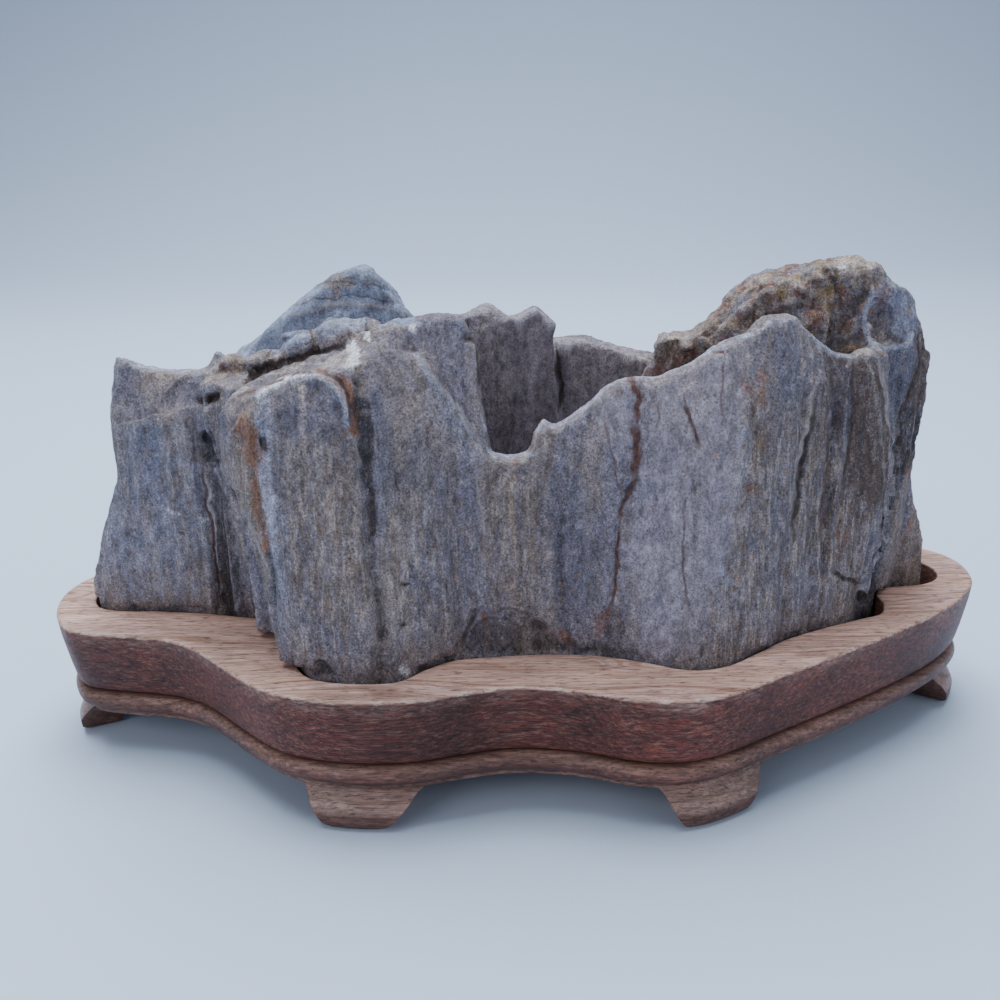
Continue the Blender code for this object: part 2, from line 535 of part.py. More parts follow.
def add_lump(mesh, centre, radii):
    """Add a rounded lump."""
    created = bmesh.ops.create_icosphere(mesh, subdivisions=2, radius=1)
    for vertex in created["verts"]:
        vertex.co = Vector(c + r * v for c, r, v in zip(centre, radii, vertex.co)) * MM


def evaluated_copy(source, name):
    """A new mesh holding the object's shape with its modifiers applied."""
    graph = bpy.context.evaluated_depsgraph_get()
    copy = bpy.data.meshes.new_from_object(source.evaluated_get(graph), depsgraph=graph)
    copy.name = name
    return copy


def smooth_step(values, low, high):
    """Zero below low, one above high, smooth between."""
    t = np.clip((values - low) / (high - low), 0, 1)
    return t * t * (3 - 2 * t)


def line_distance(points, line):
    """Distance in the x, z plane from each point to a polyline."""
    best = np.full(len(points), np.inf)
    for a, b in zip(line, line[1:]):
        a, b = np.array(a, float), np.array(b, float)
        t = np.clip((points - a) @ (b - a) / ((b - a) @ (b - a)), 0, 1)
        best = np.minimum(best, np.linalg.norm(points - (a + t[:, None] * (b - a)), axis=1))
    return best


def layered_noise(points, across, up, octaves):
    """Fractal noise drawn out along z: its size across and up, in millimetres."""
    scale = Vector((1 / across, 1 / across, 1 / up))
    return np.array([noise.fractal(Vector(p) * scale, ROUGHENING, FINENESS_STEP, octaves) for p in points])


def stone_relief(points, normals):
    """Height of the stone's relief at each point: flutes, crust lumps and grooves."""
    upright = 1 - np.abs(normals[:, 2])
    crust_zone = smooth_step(points[:, 2], *CRUST_HEIGHTS) * smooth_step(points[:, 1], *CRUST_DEPTHS)
    height = FLUTES[-1] * layered_noise(points, *FLUTES[:-1]) * upright
    height += CRUST[-1] * layered_noise(points, *CRUST[:-1]) * crust_zone
    for line, depth_position, radius, depth in STONE_GROOVES.values():
        side = 1 if depth_position > MIDDLE_DEPTH else -1
        facing = smooth_step(side * normals[:, 1], *GROOVE_FACING)
        near = smooth_step(GROOVE_REACH - np.abs(points[:, 1] - depth_position), 0, GROOVE_FADE)
        distance = line_distance(points[:, [0, 2]], line)
        height -= depth * near * facing * (1 - smooth_step(distance, GROOVE_FLOOR * radius, radius))
    return height


def seat_in_opening(points, opening):
    """Move points below the stand's top inside the opening, and flatten the bed."""
    seated = points.copy()
    low = seated[:, 2] < SEAT_HEIGHT
    xy = seated[low, :2]
    closed = np.vstack([opening, opening[:1]])
    nearest = np.zeros_like(xy)
    best = np.full(len(xy), np.inf)
    inside = np.zeros(len(xy), bool)
    for a, b in zip(closed, closed[1:]):
        t = np.clip((xy - a) @ (b - a) / ((b - a) @ (b - a)), 0, 1)
        foot = a + t[:, None] * (b - a)
        distance = np.linalg.norm(xy - foot, axis=1)
        closer = distance < best
        best = np.where(closer, distance, best)
        nearest[closer] = foot[closer]
        crosses = (a[1] > xy[:, 1]) != (b[1] > xy[:, 1])
        rise = np.where(b[1] == a[1], 1.0, b[1] - a[1])
        inside ^= crosses & (xy[:, 0] < (b[0] - a[0]) * (xy[:, 1] - a[1]) / rise + a[0])
    xy[~inside] = nearest[~inside]
    seated[low, :2] = xy
    seated[:, 2] = np.where(seated[:, 2] < BED + BED_SNAP, BED, seated[:, 2])
    return seated


def make_stone(material):
    """The stone: its layers and lumps fused into one body, worn, then seated in the stand."""
    mesh = bmesh.new()
    for stations in STONE_LAYERS.values():
        loft_layer(mesh, stations)
    for centre, radii in STONE_LUMPS:
        add_lump(mesh, centre, radii)
    bmesh.ops.recalc_face_normals(mesh, faces=mesh.faces)
    rough = bpy.data.meshes.new("rough_stone")
    mesh.to_mesh(rough)
    mesh.free()
    stone = bpy.data.objects.new("rock", rough)
    bpy.context.scene.collection.objects.link(stone)
    fuse = stone.modifiers.new("fuse", "REMESH")
    fuse.mode = "VOXEL"
    fuse.voxel_size = VOXEL * MM
    wear = stone.modifiers.new("wear", "SMOOTH")
    wear.factor = WEAR_FACTOR
    wear.iterations = WEAR_PASSES
    body = evaluated_copy(stone, "rock")
    stone.modifiers.clear()
    stone.data = body
    count = len(body.vertices)
    points = np.empty(count * 3)
    normals = np.empty(count * 3)
    body.vertices.foreach_get("co", points)
    body.vertices.foreach_get("normal", normals)
    points = points.reshape(-1, 3) / MM
    normals = normals.reshape(-1, 3)
    above_bed = smooth_step(points[:, 2], BED, BED + BED_FADE)
    points += normals * (stone_relief(points, normals) * above_bed)[:, None]
    opening = inset(closed_curve(OPENING_OUTLINE, np.arange(SEAT_STEPS) / SEAT_STEPS), STONE_CLEARANCE)
    points = seat_in_opening(points, opening)
    body.vertices.foreach_set("co", (points * MM).ravel())
    body.update()
    body.materials.append(material)
    body.shade_smooth()
    thin = stone.modifiers.new("thin", "DECIMATE")
    thin.ratio = STONE_TRIANGLES / sum(len(face.vertices) - 2 for face in body.polygons)
    thin.use_collapse_triangulate = True
    return stone


def main():
    """Clear the scene and build the three pieces."""
    for old in list(bpy.data.objects):
        bpy.data.objects.remove(old)
    wood = plain_material("brown_wood", (0.30, 0.15, 0.075), 0.45)
    dark_wood = plain_material("brown_wood_base", (0.26, 0.12, 0.055), 0.42)
    stone = plain_material("grey_stone", (0.27, 0.26, 0.27), 0.8)
    make_rim(wood)
    make_base(dark_wood)
    make_stone(stone)


main()
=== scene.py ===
"""Looks of a scholar's rock that stands in its carved wooden stand.

The stone and the two boards of the stand are built again at a finer grain, from the same
named layers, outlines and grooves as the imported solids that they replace, and every piece
is dressed with a node material. Tables are in millimetres, meshes in metres. Marks on the
front of the stone are traced in pixels of the photograph, 1000 by 1000, and laid on the
stone through the viewpoint that the photograph was taken from.
"""

import logging
import math
from collections.abc import Sequence
from dataclasses import dataclass, field
from enum import Enum

import bmesh
import bpy
import numpy as np
from mathutils import Matrix, Vector, noise


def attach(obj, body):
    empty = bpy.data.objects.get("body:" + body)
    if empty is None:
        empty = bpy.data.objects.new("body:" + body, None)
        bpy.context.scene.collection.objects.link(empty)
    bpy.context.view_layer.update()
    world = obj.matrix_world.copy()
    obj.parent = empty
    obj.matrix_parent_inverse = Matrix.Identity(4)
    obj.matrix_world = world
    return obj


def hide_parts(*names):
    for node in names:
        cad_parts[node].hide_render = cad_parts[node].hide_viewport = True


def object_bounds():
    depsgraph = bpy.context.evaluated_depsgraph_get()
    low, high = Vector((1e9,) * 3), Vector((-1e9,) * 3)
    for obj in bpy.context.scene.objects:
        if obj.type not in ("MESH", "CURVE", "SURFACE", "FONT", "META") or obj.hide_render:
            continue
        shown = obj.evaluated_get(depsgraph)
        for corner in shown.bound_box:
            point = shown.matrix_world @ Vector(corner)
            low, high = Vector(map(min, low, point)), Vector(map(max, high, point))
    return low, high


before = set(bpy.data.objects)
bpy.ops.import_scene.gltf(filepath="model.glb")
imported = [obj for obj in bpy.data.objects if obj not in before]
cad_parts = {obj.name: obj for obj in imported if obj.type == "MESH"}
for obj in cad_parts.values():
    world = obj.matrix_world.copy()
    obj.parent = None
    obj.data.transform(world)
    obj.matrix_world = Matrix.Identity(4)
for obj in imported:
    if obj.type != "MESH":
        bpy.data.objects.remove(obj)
cad_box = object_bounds()

log = logging.getLogger("scholars_rock")

MM = 0.001
BOX_MARGIN = 0.02 * MM

Point = tuple[float, float]
Station = list[tuple[float, float, float, float]]
Colour = tuple[float, float, float]
Socket = bpy.types.NodeSocket
Value = Socket | float | Sequence[float]
Vertex = bmesh.types.BMVert

# Fine steps between two points of a smooth curve
CURVE_STEPS = 24

# Heights of the stand's parts above the table
STAND_TOP = 44.0
RIM_BOTTOM = 21.6
BASE_TOP = 21.3
BED = RIM_BOTTOM

# Outline of the upper board at its top edge, counter-clockwise from the right end
STAND_OUTLINE: list[Point] = [
    (150.9, 17), (149.6, 27), (143.5, 35.3), (130, 44), (105, 54.5), (75, 61), (42, 58), (10, 53.5),
    (-22, 56), (-53, 59.5), (-80, 51), (-100, 43), (-122, 39.5), (-138, 33.5), (-147, 24.5), (-151, 14),
    (-150.4, 3.5), (-147.3, -5), (-142.6, -12.2), (-137.5, -15.4), (-128, -17.6), (-110.1, -21.1),
    (-98.8, -27.1), (-88.7, -36.9), (-79.4, -46.1), (-69.8, -53.3), (-56, -57.9), (-42.8, -59.4),
    (-29.9, -58.8), (-15, -55), (-2, -52.9), (14.8, -55.4), (27.3, -59.9), (39.7, -61.8), (50, -60.4),
    (60, -56.2), (75, -47.3), (106.8, -28.5), (132.6, -10.7), (147.3, 5.2)]

# Outline of the opening that holds the stone, counter-clockwise from the right end
OPENING_OUTLINE: list[Point] = [
    (140, 18), (136.5, 25.5), (127, 31), (105, 41), (80, 46.5), (45, 44), (10, 40), (-22, 42), (-54, 44.5),
    (-80, 38), (-100, 31), (-120, 29.5), (-133, 25), (-139.6, 15), (-138, 4.5), (-131, -0.8), (-113, -2.5),
    (-93, -6), (-76, -11.5), (-70.2, -22), (-66.8, -35), (-61, -45), (-50, -48.8), (-36, -48.6), (-28, -42),
    (-20, -37.2), (-8, -35.4), (10, -34.8), (22, -36.2), (34, -40), (46, -45), (57, -43.5), (68, -36),
    (78, -28.5), (92, -21.5), (104, -16.5), (111.5, -13), (114.6, -6), (114.6, 0.5), (119, 4.8), (131, 6.6),
    (138, 11)]

# Feet by name: middle on the outline, length on the floor, and sweeps of its flanks: first the
# one that lies counter-clockwise from the foot, then the other
FEET: dict[str, tuple[Point, float, float, float]] = {
    "right": ((150.2, 10), 15, 10, 10),
    "back_right": ((80, 60.6), 19, 11, 9),
    "back_left": ((-58, 59), 19, 9, 11),
    "left": ((-150.6, 5), 15, 10, 10),
    "front_left": ((-50, -58.9), 14, 16.5, 11),
    "front_right": ((55.3, -58.3), 18, 11, 11),
}

# Upright layers of the stone. Each layer is a list of stations from end to end, and each
# station is a list of (x, y, z, half thickness) from the bed up to the crest.
STONE_LAYERS: dict[str, list[Station]] = {
    "left_block": [
        [(-140.5, 13, BED, 6), (-139, 13, 50, 7), (-132, 12, 68, 7.5), (-124.5, 11, 88, 7.5),
         (-124, 9, 108, 6), (-121, 7, 125.5, 0.8)],
        [(-131, 12, BED, 11.5), (-130, 12, 50, 12), (-123, 11, 69, 12), (-116.5, 10.5, 88, 12),
         (-117, 9, 106, 10), (-114.5, 8, 122, 2.5)],
        [(-115, 10, BED, 12), (-114, 10, 50, 12.5), (-110, 10, 70, 12.5), (-107, 9.5, 90, 12),
         (-107, 9, 106, 10.5), (-105, 8, 120.3, 4)],
        [(-98, 8, BED, 12.5), (-98, 8, 50, 13), (-97, 8, 70, 13), (-97, 7.5, 90, 12.5), (-97, 7, 108, 11),
         (-96, 7, 120.5, 6)],
        [(-90, 10, BED, 12), (-90, 10, 50, 12), (-90, 10, 70, 12), (-90, 9, 90, 11), (-90, 8, 110, 10),
         (-90, 8, 123, 6)],
    ],
    "left_folds": [
        [(-91, 4, BED, 7), (-91, 3, 60, 7), (-91, 3, 100, 6), (-91, 3, 119, 5)],
        [(-87, 1, BED, 9), (-87, 0, 60, 9), (-88, -1, 98, 8), (-88, -1, 121, 6)],
        [(-81, 1, BED, 9), (-82, 0, 60, 8.5), (-83, -2, 98, 9), (-83, -4, 121, 7)],
        [(-76, -2, BED, 9), (-77, -4, 60, 9), (-79, -8, 98, 10), (-78, -10, 121.5, 8)],
        [(-68, -10, BED, 10), (-68, -12, 60, 10), (-68, -14, 98, 10), (-68, -14, 123, 8)],
    ],
    "column": [
        [(-66, -26, BED, 3.5), (-70, -25, 60, 4.5), (-78, -24, 96, 5.5), (-79.5, -24, 117, 6),
         (-77.5, -24, 122.5, 4)],
        [(-62.5, -33, BED, 8), (-66.5, -31.5, 60, 9), (-70, -30, 96, 10), (-69.5, -29, 118, 10),
         (-67, -28, 124.5, 8)],
        [(-57, -36, BED, 10), (-59, -34, 60, 11.5), (-61, -31, 96, 12.5), (-60, -30, 121, 11.5),
         (-59, -29, 127.5, 9)],
        [(-46, -37, BED, 10.5), (-48, -35, 60, 12), (-50, -31.5, 96, 12.5), (-50, -30, 124, 11.5),
         (-50, -29, 130.5, 9)],
        [(-37, -37, BED, 10.5), (-39, -34, 60, 12), (-41.5, -30, 96, 12), (-43, -28, 126, 10.5),
         (-44, -27, 133, 8)],
        [(-30, -33, BED, 9), (-32, -31, 60, 10), (-34, -27, 96, 11), (-36, -24, 126, 9),
         (-38, -22, 137.5, 6)],
    ],
    "terrace": [
        [(-80, -6, BED, 14), (-79, -8, 90, 14), (-78, -10, 122.5, 11)],
        [(-66, -8, BED, 15), (-66, -10, 90, 15), (-66, -11, 127, 12)],
        [(-54, -8, BED, 15), (-54, -10, 90, 15), (-54, -11, 131, 11)],
        [(-42, -8, BED, 15), (-42, -10, 90, 14), (-42, -11, 134.5, 9)],
        [(-30, -10, BED, 14), (-31, -12, 90, 12), (-33, -13, 134, 7)],
    ],
    "upper_slab": [
        [(-44, -20, BED, 12), (-44, -20, 90, 12), (-43, -18, 136.5, 7)],
        [(-34, -21, BED, 12), (-34, -21, 90, 11), (-34, -19, 139.5, 6)],
        [(-24, -22, BED, 11), (-24, -21.5, 90, 9), (-24, -20, 141.3, 5)],
        [(-15, -22, BED, 9), (-13, -21.5, 90, 6.5), (-15, -20.5, 141, 4)],
        [(-9, -22, BED, 8), (-8.5, -21.5, 100, 4.5), (-11.8, -20.5, 132, 3.2)],
    ],
    "screen": [
        [(-41, -35, BED, 11), (-40, -32.5, 60, 11), (-38, -27, 112, 10), (-36, -23, 134, 5)],
        [(-31, -33, BED, 10), (-30, -31.5, 60, 10.5), (-28, -27.5, 112, 9.5), (-24, -26, 131.5, 4)],
        [(-22, -27.5, BED, 8.7), (-22, -27, 60, 9), (-20.5, -25.8, 104, 7.5), (-17.5, -26.5, 122.5, 3.2)],
        [(-15, -25.5, BED, 8.5), (-14.5, -25.5, 60, 9), (-13, -25.5, 98, 7.5), (-12, -26.5, 114, 3)],
        [(-8, -24.8, BED, 9), (-8, -24.8, 60, 9), (-7.5, -25.3, 93, 7.5), (-7, -26.5, 107.5, 3)],
        [(-2, -24.6, BED, 9), (-2, -24.6, 60, 9), (-2.5, -25.2, 91, 7.5), (-3, -26.5, 104.8, 3.2)],
        [(3, -24.6, BED, 9), (3, -24.6, 60, 9), (3, -25.2, 94, 7.5), (3.2, -26.5, 108.5, 3)],
        [(6.5, -24.8, BED, 9), (6.5, -24.8, 60, 9), (6.3, -25.2, 98, 7.5), (6.3, -26.5, 114.2, 2.5)],
        [(12, -25, BED, 9), (12, -25, 60, 9.3), (11.5, -25.4, 100, 7.5), (11.5, -26.8, 114.8, 2.8)],
        [(20, -26, BED, 9), (20, -25.8, 60, 9.5), (20, -25.8, 106, 7.8), (20.5, -27.5, 120.5, 3)],
        [(27, -28, BED, 9.3), (27, -27.3, 60, 9.7), (27, -26.8, 110, 8), (27, -28.3, 124.6, 3)],
        [(37, -31.3, BED, 9.8), (37, -29.6, 60, 10), (37, -27.6, 111, 8.2), (37, -28.6, 124.8, 3)],
        [(46, -34, BED, 10), (46, -31.6, 60, 10.2), (46, -28, 114, 8.4), (46, -28.8, 128.4, 3)],
        [(54, -33.2, BED, 10), (54, -31, 60, 10.2), (54, -27.6, 119, 8.4), (54, -28, 134, 3)],
        [(62, -29.4, BED, 10), (62, -27.8, 60, 10), (62, -25.4, 121, 8.4), (61.5, -26, 135.8, 3)],
        [(69, -24, BED, 10), (69, -23.4, 60, 10), (68.5, -22.4, 124, 8.2), (67, -23.5, 140, 3.5)],
        [(77, -17.6, BED, 10), (77, -18.2, 60, 9.8), (76, -18.8, 124, 8), (74, -20.5, 139.4, 3.5)],
        [(85, -13, BED, 9.8), (84.5, -14.2, 60, 9.3), (82, -15.5, 118, 8), (80, -17, 133, 3)],
        [(95, -8.4, BED, 9.6), (93, -10, 60, 9), (89, -12, 113, 8), (87, -14, 128.2, 3)],
        [(101.5, -5, BED, 8.6), (99, -6, 60, 8), (95, -8, 110, 7.5), (92.5, -10.5, 126, 3.5)],
    ],
    "hanging_blade": [
        [(100, -13, 58, 2.5), (94.5, -15.5, 92, 3.5), (91.5, -14.5, 125, 3)],
        [(107.3, -12, 48.6, 1), (101.5, -13.5, 88, 4), (97.5, -12, 127, 4)],
        [(110, -9, 64, 2), (106.5, -9.5, 92, 4), (103, -8, 126.5, 4)],
    ],
    "peak": [
        [(-92, 18, BED, 13), (-92, 17, 90, 11), (-91, 13, 121.5, 5)],
        [(-86, 18, BED, 16), (-86, 17, 90, 14), (-85.5, 13, 124, 6)],
        [(-75, 18, BED, 18), (-75, 17, 90, 17), (-75, 13, 132, 6)],
        [(-65, 17, BED, 19), (-65, 16, 90, 19), (-64.7, 12, 140.2, 5.5)],
        [(-54, 17, BED, 19), (-54, 16, 90, 19), (-53.7, 12, 147.3, 5)],
        [(-45, 17, BED, 19), (-45, 16, 90, 18), (-45, 12, 150.3, 4)],
        [(-39, 16, BED, 18), (-39, 15, 90, 16), (-39.8, 12, 146, 4)],
        [(-33, 16, BED, 16), (-33, 15, 90, 13), (-34, 12, 137.5, 5)],
        [(-26, 17, BED, 13), (-26, 15, 90, 10), (-27, 13, 131.5, 5)],
    ],
    "back_slab": [
        [(-27, 22, BED, 11), (-27, 20, 90, 9), (-25, 17, 130.5, 5)],
        [(-17, 23, BED, 11), (-17, 21, 90, 8), (-17, 17, 133.4, 5)],
        [(-9, 23, BED, 11), (-9, 21, 90, 7.5), (-8.8, 17, 137, 4.5)],
        [(-2, 23, BED, 11), (-2, 21, 90, 7), (-1.5, 17, 132.8, 4.5)],
        [(6, 23.5, BED, 10), (6, 21.5, 90, 6), (6, 18, 135.5, 3.5)],
        [(14, 24, BED, 9), (15, 22.5, 90, 4.5), (11.5, 18.5, 129.5, 2.5)],
    ],
    "back_wall": [
        [(8, 30, BED, 10), (8, 30, 80, 8), (8, 28, 123.5, 5)],
        [(22, 30, BED, 10), (22, 30, 80, 8), (22, 28, 123.6, 5)],
        [(34, 31, BED, 11), (34, 30, 80, 8.5), (34, 27, 120.6, 5)],
        [(48, 31, BED, 12), (48, 30, 80, 10), (48, 26, 116.5, 7)],
    ],
    "right_mass": [
        [(36, 12, BED, 13), (36, 12, 80, 9), (37, 9, 113.5, 4)],
        [(43, 12, BED, 14), (43, 12, 80, 12), (42.5, 7, 124.5, 5)],
        [(52, 11, BED, 15), (52, 11, 80, 14), (50, 7, 127.6, 6)],
        [(60, 10, BED, 16), (60, 10, 80, 16), (59, 7, 135, 7)],
        [(66, 10, BED, 17), (66, 10, 80, 17), (65.5, 7, 142.2, 7.5)],
        [(71, 10, BED, 17), (71, 10, 80, 17), (71, 7, 145.4, 8.5)],
        [(82, 10, BED, 18), (82, 10, 80, 18), (82, 7, 147.6, 9)],
        [(94, 10, BED, 18), (94, 10, 80, 18), (94, 8, 149.2, 9)],
        [(101, 10, BED, 17), (101, 10, 80, 17), (101, 8, 149.5, 8)],
        [(107, 11, BED, 14), (107, 11, 80, 14), (106.5, 9, 145, 6)],
    ],
    "end_column": [
        [(104, 4, BED, 6), (101, -1, 80, 6), (98, -3, 126, 4), (99.5, -2, 131, 2)],
        [(108, 6, BED, 7), (108, 3, 80, 8), (104.5, 1, 124, 8), (105.5, 1, 143.6, 4.5)],
        [(113, 10, BED, 8), (115, 6, 80, 8), (113.5, 4, 122, 8.5), (110.5, 3, 142.6, 4.5)],
        [(117, 14, BED, 7), (120.5, 10, 84, 5), (122.8, 8, 108, 6), (120.5, 8, 124, 5),
         (115.5, 7, 136, 3.5)],
    ],
    "end_back": [
        [(122, 15, BED, 6), (120.5, 15, 84, 4), (121, 14, 104, 6), (119.5, 14, 120, 4)],
        [(118, 22, BED, 9), (117, 22, 84, 8), (117, 20, 106, 9), (116, 19, 129, 5)],
        [(106, 28, BED, 9), (106, 28, 84, 9), (106, 26, 106, 9), (105, 23, 136, 6)],
    ],
    "right_buttress": [
        [(118, 14.5, BED, 8), (118, 14.5, 56, 7), (119.5, 15, 80, 4.5)],
        [(127, 15.5, BED, 8.5), (126, 15.5, 57, 7.5), (123.5, 15.5, 82, 4)],
        [(134, 17, BED, 5.5), (132.6, 16.5, 57, 4.5), (126.5, 16.5, 79, 2.2)],
    ],
    "rear_flank": [
        [(-128, 20, BED, 5), (-124, 19, 70, 6), (-118, 18, 104, 5)],
        [(-112, 22, BED, 6), (-110, 21, 76, 6), (-106, 18, 113, 5)],
        [(-96, 24, BED, 6), (-96, 24, 70, 7), (-95, 20, 117, 5)],
        [(-80, 31, BED, 7), (-80, 30, 82, 7), (-79, 24, 121, 6)],
        [(-62, 36, BED, 7), (-62, 34, 70, 8), (-62, 26, 131, 6)],
        [(-46, 37, BED, 7), (-46, 35, 92, 7), (-45, 25, 139, 6)],
        [(-30, 35, BED, 7), (-30, 33, 74, 7), (-30, 27, 127, 6)],
        [(-10, 34, BED, 6), (-10, 32, 88, 6), (-10, 27, 124, 5)],
        [(10, 33, BED, 6), (10, 32, 70, 6), (10, 28, 117, 5)],
        [(34, 36, BED, 6), (34, 35, 84, 6), (34, 31, 112, 5)],
        [(56, 38, BED, 7), (56, 37, 66, 8), (57, 29, 121, 6)],
        [(78, 38, BED, 8), (78, 36, 96, 7), (78, 26, 133, 7)],
        [(96, 34, BED, 8), (96, 33, 74, 8), (97, 24, 139, 7)],
        [(112, 26, BED, 8), (113, 26, 70, 8), (111, 22, 133, 6)],
    ],
    "basin_floor": [
        [(-70, 2, BED, 30), (-70, 2, 78, 26)],
        [(-20, 2, BED, 32), (-20, 2, 70, 26)],
        [(20, 2, BED, 32), (20, 2, 71, 26)],
        [(60, 4, BED, 32), (60, 4, 80, 26)],
        [(104, 8, BED, 14), (104, 8, 92, 12)],
    ],
}

# Rounded lumps on the ledges and crust: centre and radii
STONE_LUMPS: list[tuple[tuple[float, float, float], tuple[float, float, float]]] = [
    ((-70, -13, 126), (8, 6, 4.2)), ((-59, -13, 131), (7, 6, 5.5)), ((-50, -13, 134.5), (7, 6, 5)),
    ((-43, -12, 134.5), (5, 5, 4.5)), ((-90, 8, 122.6), (3, 2.4, 3.8)), ((-84, 4, 122), (5, 5, 4)),
    ((44.5, 5, 125), (4, 5, 4.2)), ((49.5, 5, 126), (5, 6, 4)), ((69, 2, 137), (6, 7, 5)),
    ((77, 2, 140), (8, 8, 6)), ((88, 2, 143), (7, 8, 6)), ((98, 3, 145), (7, 7, 5.5)),
    ((121, 7, 119), (3.2, 4, 4.5)), ((121.8, 8, 107), (3, 4, 5)), ((66, 0, 128), (9, 6, 7)),
    ((85, -1, 131), (9, 6, 8)),
]

# Grooves and hollows of the faces: points (x, z), depth position y, radius and depth
STONE_GROOVES: dict[str, tuple[list[Point], float, float, float]] = {
    "block_groove": ([(-93, 103), (-91.5, 90), (-92, 74), (-93, 30)], -2, 2.6, 2.6),
    "fold_groove": ([(-85.5, 88), (-83, 74), (-82, 60), (-82.5, 30)], -9, 2.4, 2.6),
    "flank_groove": ([(-74, 80), (-72, 64), (-70, 30)], -14, 2.5, 2.0),
    "column_groove": ([(-42, 127), (-40.5, 100), (-41, 78), (-39, 56)], -38, 2.6, 1.8),
    "screen_hollow": ([(6, 96), (8, 66), (5, 30)], -34, 9.0, 1.6),
    "turn_groove": ([(80, 124), (79, 100), (76, 78), (76.5, 30)], -26, 2.6, 1.2),
    "strip_groove": ([(90, 116), (89, 90), (90, 62)], -18, 2.4, 1.8),
    "oval_recess": ([(105, 130.3), (105.6, 134.2)], -6, 4.6, 1.8),
    "tip_hollow": ([(110, 44), (109.5, 62)], -12, 3.6, 2.0),
    "rear_step_left": ([(-116, 100), (-112, 70), (-114, 30)], 26, 5.0, 1.8),
    "rear_shelf_peak": ([(-64, 104), (-50, 98), (-38, 101)], 38, 4.0, 1.8),
    "rear_shelf_mass": ([(70, 112), (84, 106), (98, 110)], 38, 4.0, 1.8),
    "rear_flute_middle": ([(-8, 108), (-10, 70), (-8, 30)], 36, 6.0, 1.6),
    "rear_flute_right": ([(84, 100), (82, 66), (84, 30)], 40, 6.0, 1.8),
    "rear_flute_left": ([(-86, 100), (-88, 66), (-87, 30)], 34, 6.0, 1.8),
    "rear_cleft_left": ([(-100, 112), (-104, 80), (-102, 30)], 28, 3.6, 3.0),
    "rear_cleft_peak": ([(-71, 122), (-67, 90), (-69, 30)], 36, 4.2, 3.4),
    "rear_hollow_peak": ([(-46, 100), (-44, 66)], 38, 11.0, 3.0),
    "rear_cleft_middle": ([(-20, 122), (-24, 88), (-22, 30)], 37, 5.0, 3.4),
    "rear_cleft_right": ([(22, 112), (19, 84), (24, 30)], 36, 5.0, 3.8),
    "rear_hollow_right": ([(45, 92), (48, 66)], 38, 12.0, 3.2),
    "rear_cleft_mass": ([(66, 128), (71, 92), (68, 30)], 40, 4.2, 3.4),
    "rear_step": ([(92, 110), (98, 84), (95, 30)], 38, 5.5, 2.6),
}


class Shape(Enum):
    """How a mark lies on the stone: a fine line, a soft band or a soft-edged area."""

    LINE = "line"
    BAND = "band"
    AREA = "area"


class Pigment(Enum):
    """What a mark adds to the stone's colour."""

    RUST = "rust"
    BROWN = "brown"
    TAN = "tan"
    BLUE = "blue"
    CREAM = "cream"
    # Pale rubbed rims and edges, and painted highlights on rims and lit faces
    WORN = "worn"
    CHIP = "chip"
    LILAC = "lilac"
    # Pale blue-grey, painted as sky light on the peak and the end face
    GREY = "grey"
    # Dark grime, and painted shade in hollows, grooves, slots and under ledges
    DIRT = "dirt"
    STRIPES = "stripes"


@dataclass(frozen=True)
class Mark:
    """A mark traced on the front of the stone, in pixels of the photograph.

    Attributes:
        shape: How the mark lies on the stone.
        pigment: What it adds to the colour.
        force: Strength of the pigment, 0 to 1.
        reach: Half width of a line or band, or softness of an area's edge, in mm.
        depth: How deep it is cut into the stone in mm; a negative depth is raised.
        trace: Its points in order.
    """

    shape: Shape
    pigment: Pigment
    force: float
    reach: float
    depth: float
    trace: list[Point]
